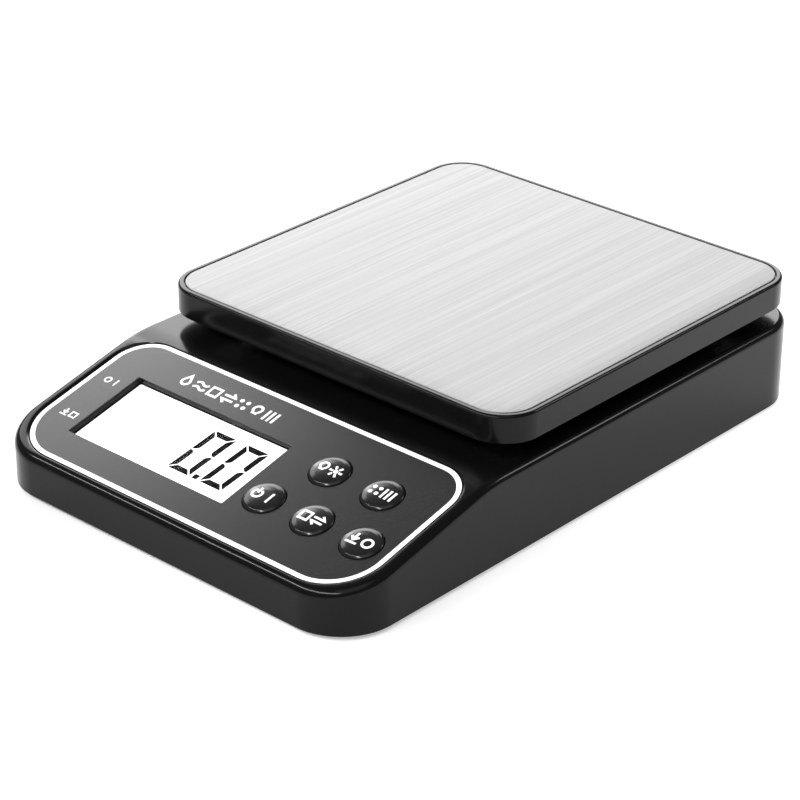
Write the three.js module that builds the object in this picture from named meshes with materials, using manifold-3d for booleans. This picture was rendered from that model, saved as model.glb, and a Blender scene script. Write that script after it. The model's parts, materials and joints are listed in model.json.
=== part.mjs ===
// Compact counting scale: a low plastic casing with a sloped console in front, and a square
// weighing platform that stands on one load cell. Millimetres, +X right, +Y to the back, +Z up.
// The origin is on the table, under the middle of the casing.
import * as THREE from 'three';
import { mergeVertices } from 'three/addons/utils/BufferGeometryUtils.js';
import Module from 'manifold-3d';

const wasm = await Module();
wasm.setup();

// ---- driving dimensions -------------------------------------------------------------------

// casing
const CASING_WIDTH = 165;
const CASING_LENGTH = 241.2;
const DECK_HEIGHT = 31.4; // casing bottom to the flat deck under the platform
const FRONT_CORNER = 21;
const REAR_CORNER = 19.2;
const EDGE_FILLET = 2.7; // rounding between the walls and the top
const WALL = 2.4;
const CLEARANCE = 0.3; // between pieces that fit in or rest on each other
const THROUGH = 20; // how far a cut runs on past the piece it opens
const SINK = 0.5; // how far joined forms run into each other

// sloped console
const CONSOLE_ANGLE = 13.48; // degrees
const CONSOLE_LENGTH = 65.9; // of the panel, along the slope
const CONSOLE_SIDE_MARGIN = 4.7; // casing side to panel edge
const CONSOLE_FRONT_MARGIN = 3.8; // casing front to panel edge
const CONSOLE_TO_PLATFORM = 10.7; // panel's back edge to the platform's front edge, level
const BEND_RADIUS = 60; // soft bend between the slope and the deck
const BEND_BEHIND_PANEL = 0.3; // middle of the bend, behind the panel
const RIM_HEIGHT = 0.6; // rim round the panel, above the panel's face
const PANEL_THICKNESS = 0.6;
const PANEL_FRONT_CORNER = 19.3;
const PANEL_REAR_CORNER = 14;
const CONSOLE_WALL = 1.2; // casing wall left under the panel

// display
const WINDOW_LEFT_MARGIN = 16.4; // panel edge to window
const WINDOW_FRONT_MARGIN = 13.6;
const WINDOW_LENGTH = 34.1; // along the slope
const LENS_THICKNESS = 0.6;
const LENS_OVERLAP = 2; // lens beyond the window on every side
const GLASS_THICKNESS = 1.6;
const GLASS_OVERLAP = 1.2;
const BACKLIGHT_THICKNESS = 2;
const HOLDER_WALL = 1;

// keys
const KEY_DIAMETER = 14.5;
const KEY_PROUD = 1.3;
const KEY_TRAVEL = 0.6;
const KEY_FLANGE = 0.6; // flange beyond the key's side
const KEY_FLANGE_THICKNESS = 1;
const KEY_FRONT_MARGIN = 15.5; // panel's front edge to the front row, along the slope
const KEY_ROW_GAP = 6.7; // between the two rows
const KEY_GAP_FRONT = 6.8; // between neighbours in the front row
const KEY_GAP_BACK = 8.4; // between neighbours in the back row
const KEY_SIDE_MARGIN = 5.1; // panel's right edge to the front row
const KEY_SIDE_MARGIN_BACK = 15.2; // panel's right edge to the back row
const SWITCH_SIDE = 6.2;
const SWITCH_HEIGHT = 3.4;
const PLUNGER_DIAMETER = 3.4;
const PLUNGER_LENGTH = 2.6;
const PLUNGER_SUNK = 0.6; // plunger's top above its switch at full press
const STEM_WALL = 0.6; // key stem beyond the plunger
const BOARD_THICKNESS = 1.6;
const BOARD_MARGIN = 5; // board beyond the outermost window edge or key

// platform
const PLATFORM_SIDE_INSET = 2.5; // casing side to platform side
const PLATFORM_REAR_INSET = 2.6;
const PLATFORM_HEIGHT = 10.4;
const PLATFORM_GAP = 5.4; // deck to the platform's skirt
const PLATFORM_CORNER = 15;
const PLATFORM_LIP = 2.6; // platform rim beyond the steel plate
const PLATFORM_TOP_WALL = 2.2;
const SKIRT_WALL = 2.2;
const PLATE_THICKNESS = 0.8;
const PLATE_GAP = 0.4; // groove round the steel plate

// load cell and the bracket on it
const CELL_LENGTH = 80;
const CELL_WIDTH = 12.7;
const CELL_HEIGHT = 12.7;
const CELL_HOLE = 9; // the two joined bores that leave thin flexing walls
const CELL_HOLE_PITCH = 14;
const CELL_END_PAD = 22; // length clamped at each end
const CELL_BOLT_PITCH = 13;
const CELL_BOLT = 4;
const BASE_PLATE_THICKNESS = 3;
const BASE_PLATE_WIDTH = 34;
const BRACKET_THICKNESS = 3;
const BRACKET_ARM_WIDTH = 16;
const BRACKET_RAISE = 1.2; // platform's skirt edge to the bracket
const BRACKET_HUB = 40; // side of the plate where the arms cross
const BRACKET_REACH = 0.68; // arm tips, as a part of the platform's half size
const POST_WIDTH = 16;
const POST_FLOOR = 4; // under the screw heads in the post
const TRAY_BOSS = 8;
const BOOT_WIDTH = 7;
const BOOT_HEIGHT = 3;
const BOOT_OVERLAP = 2; // boot over the deck round its opening
const GAUGE_COVER_LENGTH = 30;
const GAUGE_COVER_THICKNESS = 1.4;

// lower cover, feet and fasteners
const COVER_THICKNESS = 2;
const COVER_RECESS = 0.5;
const FOOT_DIAMETER = 13;
const FOOT_PROUD = 1.5;
const FOOT_POCKET = 0.8;
const FOOT_INSET = 21; // casing side to foot centre
const CASE_SCREW = 2.6;
const HEAD_HEIGHT = 1.2;
const HEAD_GAP = 0.1; // between a screw head and its seat
const HEAD_RECESS = 1.3; // counterbore in the cover for a screw head
const TRAY_SCREW = 3;
const CASE_SCREW_INSET = 11.5; // casing side to screw centre
const CASE_BOSS = 8;
const CASE_SCREW_COVER = 5.8; // front screws' tips under the top of the casing
const HEAD_RATIO = 1.9; // screw head to shank

// batteries
const BATTERY_DIAMETER = 10.5;
const BATTERY_LENGTH = 44.5;
const BATTERY_COUNT = 2;
const BAY_WALL = 1.6;
const CONTACT_THICKNESS = 0.5;
const CONTACT_SPACE = 2; // beyond each end of a battery
const BAY_INSET = 10; // casing side to the bay
const DOOR_LEDGE = 2;
const DOOR_GAP = 0.5;
const DOOR_STOP = 1.2; // thickness of the cover over the door's edge
const BAY_TO_CELL = 12;

// boards and leads inside
const MAIN_BOARD_WIDTH = 46;
const MAIN_BOARD_LENGTH = 34;
const MAIN_BOARD_RAISE = 6; // above the lower cover
const CHIP_SIDE = 12;
const CHIP_HEIGHT = 1.9;
const BOARD_POST = 5;
const BOARD_POST_INSET = 4;
const LEAD_DIAMETER = 2.4;

// ---- places worked out from the driving dimensions ----------------------------------------

const radians = (degrees) => (degrees * Math.PI) / 180;
const slope = radians(CONSOLE_ANGLE);
const halfWidth = CASING_WIDTH / 2;
const front = -CASING_LENGTH / 2;
const rear = CASING_LENGTH / 2;
const casingBottom = FOOT_PROUD;
const deck = casingBottom + DECK_HEIGHT;

const panelHalf = halfWidth - CONSOLE_SIDE_MARGIN;
const panelFront = front + CONSOLE_FRONT_MARGIN;
const panelBack = panelFront + CONSOLE_LENGTH * Math.cos(slope);
const platformFront = panelBack + CONSOLE_TO_PLATFORM;
const platformRear = rear - PLATFORM_REAR_INSET;
const platformHalf = halfWidth - PLATFORM_SIDE_INSET;
const platformMiddle = (platformFront + platformRear) / 2;
const platformHalfLength = (platformRear - platformFront) / 2;
const skirtBottom = deck + PLATFORM_GAP;
const platformTop = skirtBottom + PLATFORM_HEIGHT;

// the rim's slope meets the deck in the middle of the bend, just behind the panel
const bendAt = panelBack + BEND_BEHIND_PANEL;
const rimAt = (y) => deck + (y - bendAt) * Math.tan(slope);
const panelHeight = rimAt(panelFront) - RIM_HEIGHT / Math.cos(slope);

const coverBottom = casingBottom + COVER_RECESS;
const coverTop = coverBottom + COVER_THICKNESS;
const ceiling = deck - WALL;
const headSeat = coverBottom + HEAD_RECESS;

// depths under the panel's face, along the console's own normal
const pocketFloor = -PANEL_THICKNESS - CLEARANCE;
const consoleUnder = pocketFloor - CONSOLE_WALL;
const lensTop = consoleUnder - CLEARANCE;
const glassTop = lensTop - LENS_THICKNESS - CLEARANCE;
const backlightTop = glassTop - GLASS_THICKNESS - CLEARANCE;
const holderFloor = backlightTop - BACKLIGHT_THICKNESS - CLEARANCE;
const boardTop = holderFloor - HOLDER_WALL - CLEARANCE;
const switchTop = boardTop + CLEARANCE + SWITCH_HEIGHT;
const flangeTop = consoleUnder - CLEARANCE;

const keyRadius = KEY_DIAMETER / 2;
const frontRow = KEY_FRONT_MARGIN + keyRadius;
const backRow = frontRow + KEY_DIAMETER + KEY_ROW_GAP;
const lastKey = panelHalf - KEY_SIDE_MARGIN - keyRadius;
const lastBackKey = panelHalf - KEY_SIDE_MARGIN_BACK - keyRadius;
const firstKey = lastKey - 2 * (KEY_DIAMETER + KEY_GAP_FRONT);
const KEYS = {
  power: [firstKey, frontRow],
  unit: [(firstKey + lastKey) / 2, frontRow],
  tare: [lastKey, frontRow],
  backlight: [lastBackKey - KEY_DIAMETER - KEY_GAP_BACK, backRow],
  count: [lastBackKey, backRow],
};

// the window fills the panel up to the key flanges, less the display's own holder
const holderOuter = GLASS_OVERLAP + CLEARANCE + HOLDER_WALL;
const windowLeft = -panelHalf + WINDOW_LEFT_MARGIN;
const windowRight = firstKey - keyRadius - KEY_FLANGE - CLEARANCE - holderOuter;
const windowFront = WINDOW_FRONT_MARGIN;
const windowBack = WINDOW_FRONT_MARGIN + WINDOW_LENGTH;

const cellBottom = coverTop + 2 * CLEARANCE + BASE_PLATE_THICKNESS;
const cellTop = cellBottom + CELL_HEIGHT;
const cellFront = platformMiddle - CELL_LENGTH / 2;
const cellRear = platformMiddle + CELL_LENGTH / 2;
const bracketBottom = skirtBottom + BRACKET_RAISE;
const bracketTop = bracketBottom + BRACKET_THICKNESS;

const batteryMiddle = coverTop + 2 * CLEARANCE + BATTERY_DIAMETER / 2;
const bayRoof = batteryMiddle + BATTERY_DIAMETER / 2 + CLEARANCE;
const bayRight = halfWidth - BAY_INSET;
const bayLeft = bayRight - BATTERY_LENGTH - 2 * CONTACT_SPACE;
const batteryPitch = BATTERY_DIAMETER + 2 * CLEARANCE;
const bayLength = BATTERY_COUNT * batteryPitch + 2 * CLEARANCE;
const bayBack = cellFront - BAY_TO_CELL;
const bayFront = bayBack - bayLength;

// ---- materials ----------------------------------------------------------------------------

const finish = (color, roughness, metalness) =>
  new THREE.MeshStandardMaterial({ color, roughness, metalness });
const CASING_BLACK = finish(0x17171a, 0.28, 0);
const COVER_BLACK = finish(0x1b1b1d, 0.55, 0);
const PANEL_GREY = finish(0x3a3a3d, 0.32, 0);
const KEY_GREY = finish(0x303033, 0.35, 0);
const CLEAR = finish(0xdfe6ea, 0.08, 0);
const GLASS_WHITE = finish(0xe9edf0, 0.15, 0);
const DIFFUSER = finish(0xf4f4ee, 0.5, 0);
const NYLON_WHITE = finish(0xd8d6cf, 0.5, 0);
const BOARD_GREEN = finish(0x1d5a36, 0.45, 0);
const CHIP_BLACK = finish(0x111113, 0.4, 0);
const BRUSHED_STEEL = finish(0xc9c9c7, 0.32, 1);
const ZINC = finish(0xaeb1b4, 0.35, 1);
const ALUMINIUM = finish(0xb9bcc0, 0.4, 1);
const NICKEL = finish(0xc6c0b2, 0.3, 1);
const SILICONE = finish(0x2a2a2c, 0.8, 0);
const RUBBER = finish(0x141414, 0.9, 0);
const LEAD_GREY = finish(0x6c6e73, 0.6, 0);

// ---- solids -------------------------------------------------------------------------------

// a closed three.js geometry as a solid that can be cut and joined
function solid(geometry) {
  const bare = geometry.clone();
  bare.deleteAttribute('normal');
  bare.deleteAttribute('uv');
  const merged = mergeVertices(bare, 1e-4);
  return new wasm.Manifold(
    new wasm.Mesh({
      numProp: 3,
      vertProperties: Float32Array.from(merged.attributes.position.array),
      triVerts: Uint32Array.from(merged.index.array),
    }),
  );
}

function geometryOf(manifold) {
  const mesh = manifold.getMesh();
  const geometry = new THREE.BufferGeometry();
  geometry.setAttribute('position', new THREE.BufferAttribute(mesh.vertProperties, 3));
  geometry.setIndex(new THREE.BufferAttribute(mesh.triVerts, 1));
  geometry.computeVertexNormals();
  return geometry;
}

function box(x0, x1, y0, y1, z0, z1) {
  const geometry = new THREE.BoxGeometry(x1 - x0, y1 - y0, z1 - z0);
  return solid(geometry.translate((x0 + x1) / 2, (y0 + y1) / 2, (z0 + z1) / 2));
}

function roundedBox(x0, x1, y0, y1, z0, z1, radius, steps = 6, frontRadius = radius) {
  const shape = new THREE.Shape();
  shape.moveTo(x0 + frontRadius, y0);
  shape.lineTo(x1 - frontRadius, y0);
  shape.absarc(x1 - frontRadius, y0 + frontRadius, frontRadius, -Math.PI / 2, 0);
  shape.absarc(x1 - radius, y1 - radius, radius, 0, Math.PI / 2);
  shape.absarc(x0 + radius, y1 - radius, radius, Math.PI / 2, Math.PI);
  shape.absarc(x0 + frontRadius, y0 + frontRadius, frontRadius, Math.PI, 1.5 * Math.PI);
  const geometry = new THREE.ExtrudeGeometry(shape, {
    depth: z1 - z0,
    bevelEnabled: false,
    curveSegments: steps,
  });
  return solid(geometry.translate(0, 0, z0));
}

function upright(x, y, z0, z1, diameter, sides = 20) {
  const geometry = new THREE.CylinderGeometry(diameter / 2, diameter / 2, z1 - z0, sides);
  return solid(geometry.rotateX(Math.PI / 2).translate(x, y, (z0 + z1) / 2));
}

// turned piece: [radius, height] pairs that start and end on the axis
function turned(x, y, profile, sides = 20) {
  const points = profile.map(([radius, height]) => new THREE.Vector2(radius, height));
  const geometry = new THREE.LatheGeometry(points, sides);
  return solid(geometry.rotateX(Math.PI / 2).translate(x, y, 0));
}

// screw with its head down or up: the shank runs from the head's flat face to tip
function screw(x, y, headZ, tip, shank, sides = 14) {
  const up = Math.sign(tip - headZ);
  const outer = headZ - up * HEAD_HEIGHT;
  const profile = [
    [0, outer],
    [(shank * HEAD_RATIO) / 2, outer],
    [(shank * HEAD_RATIO) / 2, headZ],
    [shank / 2, headZ],
    [shank / 2, tip - up * shank * 0.4],
    [shank * 0.25, tip],
    [0, tip],
  ];
  return turned(x, y, up > 0 ? profile : profile.reverse(), sides);
}

// casing form: rounded-rectangle rings stacked from a flat bottom up to a top that follows
// topAt(y), with the upper edge rounded by `fillet`
function casingForm(inset, bottom, topAt, fillet, cornerSteps = 7, filletSteps = 4) {
  const rows = [];
  const frontRadius = FRONT_CORNER - inset;
  const rearRadius = REAR_CORNER - inset;
  for (let i = 0; i <= cornerSteps; i += 1) {
    const angle = -Math.PI / 2 + (i / cornerSteps) * (Math.PI / 2);
    rows.push({ corner: 'front', radius: frontRadius, angle });
  }
  const bendReach = BEND_RADIUS * Math.tan(slope / 2);
  for (let i = 0; i <= 6; i += 1) {
    rows.push({ at: bendAt - bendReach + (i / 6) * 2 * bendReach });
  }
  for (let i = 0; i <= cornerSteps; i += 1) {
    const angle = (i / cornerSteps) * (Math.PI / 2);
    rows.push({ corner: 'rear', radius: rearRadius, angle });
  }
  const ring = (shrink) =>
    rows.map((row) => {
      if (row.at !== undefined) return [halfWidth - inset - shrink, row.at];
      const across = halfWidth - inset - row.radius;
      const reach = row.radius - shrink;
      const along =
        row.corner === 'front' ? front + inset + row.radius : rear - inset - row.radius;
      return [across + reach * Math.cos(row.angle), along + reach * Math.sin(row.angle)];
    });
  const levels = [];
  levels.push(ring(0).map(([x, y]) => [x, y, bottom]));
  for (let i = 0; i <= filletSteps; i += 1) {
    const turn = (i / filletSteps) * (Math.PI / 2);
    const shrink = fillet * (1 - Math.cos(turn));
    const drop = fillet * (1 - Math.sin(turn));
    levels.push(ring(shrink).map(([x, y]) => [x, y, topAt(y) - drop]));
  }
  const positions = [];
  const count = rows.length;
  levels.forEach((level) => {
    level.forEach(([x, y, z]) => positions.push(x, y, z));
    level.forEach(([x, y, z]) => positions.push(-x, y, z));
  });
  const indices = [];
  const right = (level, i) => level * 2 * count + i;
  const left = (level, i) => level * 2 * count + count + i;
  const quad = (a, b, c, d) => indices.push(a, b, c, a, c, d);
  for (let k = 0; k + 1 < levels.length; k += 1) {
    for (let i = 0; i + 1 < count; i += 1) {
      quad(right(k, i), right(k, i + 1), right(k + 1, i + 1), right(k + 1, i));
      quad(left(k, i + 1), left(k, i), left(k + 1, i), left(k + 1, i + 1));
    }
    quad(left(k, 0), right(k, 0), right(k + 1, 0), left(k + 1, 0));
    quad(right(k, count - 1), left(k, count - 1), left(k + 1, count - 1), right(k + 1, count - 1));
  }
  const last = levels.length - 1;
  for (let i = 0; i + 1 < count; i += 1) {
    quad(left(last, i), right(last, i), right(last, i + 1), left(last, i + 1));
    quad(right(0, i), left(0, i), left(0, i + 1), right(0, i + 1));
  }
  const geometry = new THREE.BufferGeometry();
  geometry.setAttribute('position', new THREE.BufferAttribute(Float32Array.from(positions), 3));
  geometry.setIndex(indices);
  return solid(geometry);
}

// height of the casing's top: the rim's slope, a round bend, then the flat deck
function casingTop(y) {
  const reach = BEND_RADIUS * Math.tan(slope / 2);
  const from = bendAt - reach * Math.cos(slope);
  const to = bendAt + reach;
  if (y <= from) return rimAt(y);
  if (y >= to) return deck;
  return deck - (BEND_RADIUS - Math.sqrt(BEND_RADIUS ** 2 - (to - y) ** 2));
}

// ---- scene graph --------------------------------------------------------------------------

const scale = new THREE.Group();

// everything on the console is drawn on its own plane: x across, y up the slope, z off the face
const consolePlane = new THREE.Group();
consolePlane.position.set(0, panelFront, panelHeight);
consolePlane.rotation.x = slope;
consolePlane.updateMatrix();
scale.add(consolePlane);
const onConsole = (manifold) => manifold.transform(consolePlane.matrix.elements);

function add(group, name, manifold, material) {
  const mesh = new THREE.Mesh(geometryOf(manifold), material);
  mesh.name = name;
  group.add(mesh);
}

// ---- upper housing ------------------------------------------------------------------------

const frontScrews = [-1, 1].map((side) => [
  side * (halfWidth - CASE_SCREW_INSET),
  front + CASE_SCREW_INSET,
]);
const rearScrews = [-1, 1].map((side) => [
  side * (halfWidth - CASE_SCREW_INSET),
  rear - CASE_SCREW_INSET,
]);
const caseScrews = [...frontScrews, ...rearScrews];
const caseScrewTip = casingTop(front + CASE_SCREW_INSET) - CASE_SCREW_COVER;
const deckHole = {
  x: POST_WIDTH / 2 + BOOT_WIDTH - BOOT_OVERLAP,
  y0: cellRear - CELL_END_PAD + 1 - BOOT_WIDTH + BOOT_OVERLAP,
  y1: cellRear + BOOT_WIDTH - BOOT_OVERLAP,
};

function upperHousing() {
  const outer = casingForm(0, casingBottom, casingTop, EDGE_FILLET);
  const wallDown = (y) => casingTop(y) - WALL - RIM_HEIGHT;
  const inner = casingForm(WALL, casingBottom - 1, wallDown, EDGE_FILLET - 1, 7, 2);
  let body = outer.subtract(inner);
  // thicker wall behind the console, which carries the panel, the window and the keys
  const backing = onConsole(
    box(-panelHalf - 1, panelHalf + 1, -1, CONSOLE_LENGTH + 1, consoleUnder, pocketFloor),
  );
  body = body.add(backing.intersect(outer));
  const bosses = caseScrews.map(([x, y]) =>
    upright(x, y, coverTop + CLEARANCE, casingTop(y) - WALL / 2, CASE_BOSS, 16).subtract(
      upright(x, y, coverTop, caseScrewTip + 1, CASE_SCREW + 2 * CLEARANCE, 12),
    ),
  );
  bosses.forEach((boss) => {
    body = body.add(boss.intersect(outer));
  });
  const pocket = roundedBox(
    -panelHalf - CLEARANCE,
    panelHalf + CLEARANCE,
    -CLEARANCE,
    CONSOLE_LENGTH + CLEARANCE,
    pocketFloor,
    THROUGH,
    PANEL_REAR_CORNER,
    7,
    PANEL_FRONT_CORNER,
  );
  const window_ = box(windowLeft, windowRight, windowFront, windowBack, -THROUGH, 1);
  body = body.subtract(onConsole(pocket)).subtract(onConsole(window_));
  Object.values(KEYS).forEach(([x, y]) => {
    const bore = upright(x, y, -THROUGH / 2, 1, KEY_DIAMETER + 2 * CLEARANCE, 28);
    body = body.subtract(onConsole(bore));
  });
  const hole = roundedBox(
    -deckHole.x,
    deckHole.x,
    deckHole.y0,
    deckHole.y1,
    ceiling - 5,
    deck + 1,
    3,
    3,
  );
  return body.subtract(hole);
}
add(scale, 'upper_housing', upperHousing(), CASING_BLACK);

// ---- console panel, display and keys ------------------------------------------------------

function consolePanel() {
  let panel = roundedBox(
    -panelHalf,
    panelHalf,
    0,
    CONSOLE_LENGTH,
    -PANEL_THICKNESS,
    0,
    PANEL_REAR_CORNER,
    7,
    PANEL_FRONT_CORNER,
  );
  panel = panel.subtract(box(windowLeft, windowRight, windowFront, windowBack, -5, 5));
  Object.values(KEYS).forEach(([x, y]) => {
    panel = panel.subtract(upright(x, y, -5, 5, KEY_DIAMETER + 2 * CLEARANCE, 28));
  });
  return panel;
}
add(consolePlane, 'console_panel', consolePanel(), PANEL_GREY);

const windowPlate = (overlap, top, thickness) =>
  box(
    windowLeft - overlap,
    windowRight + overlap,
    windowFront - overlap,
    windowBack + overlap,
    top - thickness,
    top,
  );
add(consolePlane, 'display_lens', windowPlate(LENS_OVERLAP, lensTop, LENS_THICKNESS), CLEAR);
const glass = windowPlate(GLASS_OVERLAP, glassTop, GLASS_THICKNESS);
add(consolePlane, 'lcd_glass', glass, GLASS_WHITE);
const backlight = windowPlate(GLASS_OVERLAP - 0.5, backlightTop, BACKLIGHT_THICKNESS);
add(consolePlane, 'lcd_backlight', backlight, DIFFUSER);

// tray that holds the glass and the backlight over the board
function displayHolder() {
  const top = lensTop - LENS_THICKNESS - CLEARANCE;
  const tray = windowPlate(holderOuter, top, top - (holderFloor - HOLDER_WALL));
  return tray
    .subtract(windowPlate(GLASS_OVERLAP + CLEARANCE, top + 1, top + 1 - holderFloor))
    .subtract(windowPlate(-4, holderFloor + 1, HOLDER_WALL + 2));
}
add(consolePlane, 'display_holder', displayHolder(), NYLON_WHITE);

const boardLeft = windowLeft - BOARD_MARGIN;
const boardRight = lastKey + keyRadius + 1;
const boardFront = windowFront - 1;
const boardBack = windowBack + BOARD_MARGIN;
const displayBoard = box(
  boardLeft,
  boardRight,
  boardFront,
  boardBack,
  boardTop - BOARD_THICKNESS,
  boardTop,
);
add(consolePlane, 'display_board', displayBoard, BOARD_GREEN);

const plungerTop = switchTop + KEY_TRAVEL + PLUNGER_SUNK;
for (const [name, [x, y]] of Object.entries(KEYS)) {
  // key cap: domed button, flange that stops it under the wall, stem on the plunger
  const radius = keyRadius;
  const keyProfile = [
    [0, plungerTop + 0.1],
    [PLUNGER_DIAMETER / 2 + STEM_WALL, plungerTop + 0.1],
    [PLUNGER_DIAMETER / 2 + STEM_WALL, flangeTop - KEY_FLANGE_THICKNESS],
    [radius + KEY_FLANGE, flangeTop - KEY_FLANGE_THICKNESS],
    [radius + KEY_FLANGE, flangeTop],
    [radius, flangeTop],
    [radius, KEY_PROUD * 0.3],
    [radius - 0.35, KEY_PROUD * 0.72],
    [radius - 1.3, KEY_PROUD * 0.93],
    [radius * 0.5, KEY_PROUD * 0.98],
    [0, KEY_PROUD],
  ];
  add(consolePlane, `${name}_key`, turned(x, y, keyProfile, 28), KEY_GREY);

  const half = SWITCH_SIDE / 2;
  const housing = box(x - half, x + half, y - half, y + half, boardTop + CLEARANCE, switchTop);
  const well = PLUNGER_DIAMETER + 2 * CLEARANCE;
  const wellFloor = plungerTop - PLUNGER_LENGTH - KEY_TRAVEL - CLEARANCE;
  const bored = housing.subtract(upright(x, y, wellFloor, switchTop + 1, well, 16));
  add(consolePlane, `${name}_switch`, bored, CHIP_BLACK);
  const plunger = upright(x, y, plungerTop - PLUNGER_LENGTH, plungerTop, PLUNGER_DIAMETER, 16);
  add(consolePlane, `${name}_plunger`, plunger, NYLON_WHITE);
}

// ---- lower cover, feet and case screws ----------------------------------------------------

const feet = [];
for (const [end, y] of [
  ['front', front + FOOT_INSET],
  ['rear', rear - FOOT_INSET],
]) {
  feet.push([`foot_${end}_left`, -(halfWidth - FOOT_INSET), y]);
  feet.push([`foot_${end}_right`, halfWidth - FOOT_INSET, y]);
}

const cellBolts = (end) => [end - CELL_BOLT_PITCH / 2, end + CELL_BOLT_PITCH / 2];
const fixedEnd = cellFront + CELL_END_PAD / 2;
const freeEnd = cellRear - CELL_END_PAD / 2;
const door = {
  x0: bayLeft - DOOR_LEDGE,
  x1: bayRight + DOOR_LEDGE,
  y0: bayFront - DOOR_LEDGE,
  y1: bayBack + DOOR_LEDGE,
  top: coverTop - CLEARANCE,
};
const hingeRadius = (door.top - coverBottom) / 2;
const hingeHeight = coverBottom + hingeRadius;
const hingePin = { radius: 0.6, length: 1.4 };

function lowerCover() {
  const inset = WALL + CLEARANCE;
  let cover = casingForm(inset, coverBottom, () => coverTop, 0.01, 7, 1);
  // battery bay: a box that opens downwards over the door
  const bay = box(
    bayLeft - BAY_WALL,
    bayRight + BAY_WALL,
    bayFront - BAY_WALL,
    bayBack + BAY_WALL,
    coverTop - SINK,
    bayRoof + BAY_WALL,
  );
  cover = cover.add(bay);
  cover = cover.subtract(box(bayLeft, bayRight, bayFront, bayBack, coverBottom - 1, bayRoof));
  cover = cover.subtract(
    box(
      door.x0 - DOOR_GAP,
      door.x1 + DOOR_GAP,
      door.y0 - DOOR_GAP,
      door.y1 + DOOR_GAP,
      coverBottom - 1,
      coverTop,
    ),
  );
  // the ledge over the door's edge carries on outside the bay walls
  const rim = box(
    door.x0 - DOOR_GAP - DOOR_LEDGE,
    door.x1 + DOOR_GAP + DOOR_LEDGE,
    door.y0 - DOOR_GAP - DOOR_LEDGE,
    door.y1 + DOOR_GAP + DOOR_LEDGE,
    coverTop,
    coverTop + DOOR_STOP,
  ).subtract(box(bayLeft, bayRight, bayFront, bayBack, coverTop - 1, coverTop + 2));
  cover = cover.add(rim);
  const pinSeat = new THREE.CylinderGeometry(
    hingePin.radius + 0.3,
    hingePin.radius + 0.3,
    door.y1 - door.y0 + 2 * (hingePin.length + 0.5),
    14,
  ).translate(door.x0 + hingeRadius, (door.y0 + door.y1) / 2, hingeHeight);
  cover = cover.subtract(solid(pinSeat));
  const sink = (x, y, shank) => {
    cover = cover.subtract(upright(x, y, 0, THROUGH, shank + 2 * CLEARANCE, 14));
    cover = cover.subtract(upright(x, y, 0, headSeat, shank * HEAD_RATIO + 2 * CLEARANCE, 18));
  };
  caseScrews.forEach(([x, y]) => sink(x, y, CASE_SCREW));
  cellBolts(fixedEnd).forEach((y) => sink(0, y, CELL_BOLT));
  feet.forEach(([, x, y]) => {
    cover = cover.subtract(
      upright(x, y, 0, coverBottom + FOOT_POCKET, FOOT_DIAMETER + 2 * CLEARANCE, 24),
    );
  });
  // posts under the main board
  boardPosts().forEach(([x, y]) => {
    const support = upright(x, y, coverTop - SINK, mainBoardBottom - CLEARANCE, BOARD_POST, 12);
    cover = cover.add(support);
  });
  return cover;
}

const mainBoard = {
  x0: -halfWidth + 12,
  x1: -halfWidth + 12 + MAIN_BOARD_WIDTH,
  y1: cellFront - 6,
  y0: cellFront - 6 - MAIN_BOARD_LENGTH,
};
const mainBoardBottom = coverTop + MAIN_BOARD_RAISE;
const mainBoardTop = mainBoardBottom + BOARD_THICKNESS;
function boardPosts() {
  const inset = BOARD_POST_INSET;
  return [
    [mainBoard.x0 + inset, mainBoard.y0 + inset],
    [mainBoard.x1 - inset, mainBoard.y0 + inset],
    [mainBoard.x0 + inset, mainBoard.y1 - inset],
    [mainBoard.x1 - inset, mainBoard.y1 - inset],
  ];
}
add(scale, 'lower_cover', lowerCover(), COVER_BLACK);

feet.forEach(([name, x, y]) => {
  const top = coverBottom + FOOT_POCKET - CLEARANCE;
  const radius = FOOT_DIAMETER / 2;
  const profile = [
    [0, 0],
    [radius - 0.6, 0],
    [radius, 0.6],
    [radius, top],
    [0, top],
  ];
  add(scale, name, turned(x, y, profile, 24), RUBBER);
});

caseScrews.forEach(([x, y], i) => {
  const name = ['front_left', 'front_right', 'rear_left', 'rear_right'][i];
  const piece = screw(x, y, headSeat - HEAD_GAP, caseScrewTip, CASE_SCREW);
  add(scale, `case_screw_${name}`, piece, ZINC);
});

// ---- battery door, batteries and contacts -------------------------------------------------

function batteryDoor() {
  const nose = door.x0 + hingeRadius;
  const middle = (door.y0 + door.y1) / 2;
  const lid = box(nose, door.x1, door.y0, door.y1, coverBottom, door.top);
  const barrel = new THREE.CylinderGeometry(hingeRadius, hingeRadius, door.y1 - door.y0, 16);
  const pins = new THREE.CylinderGeometry(
    hingePin.radius,
    hingePin.radius,
    door.y1 - door.y0 + 2 * hingePin.length,
    12,
  );
  let piece = lid.add(solid(barrel.translate(nose, middle, hingeHeight)));
  piece = piece.add(solid(pins.translate(nose, middle, hingeHeight)));
  // finger recess at the latch side
  const recess = roundedBox(
    door.x1 - 9,
    door.x1 - 3,
    middle - 7,
    middle + 7,
    coverBottom - 1,
    coverBottom + 0.7,
    2.5,
    4,
  );
  return piece.subtract(recess);
}
add(scale, 'battery_door', batteryDoor(), COVER_BLACK);

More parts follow.
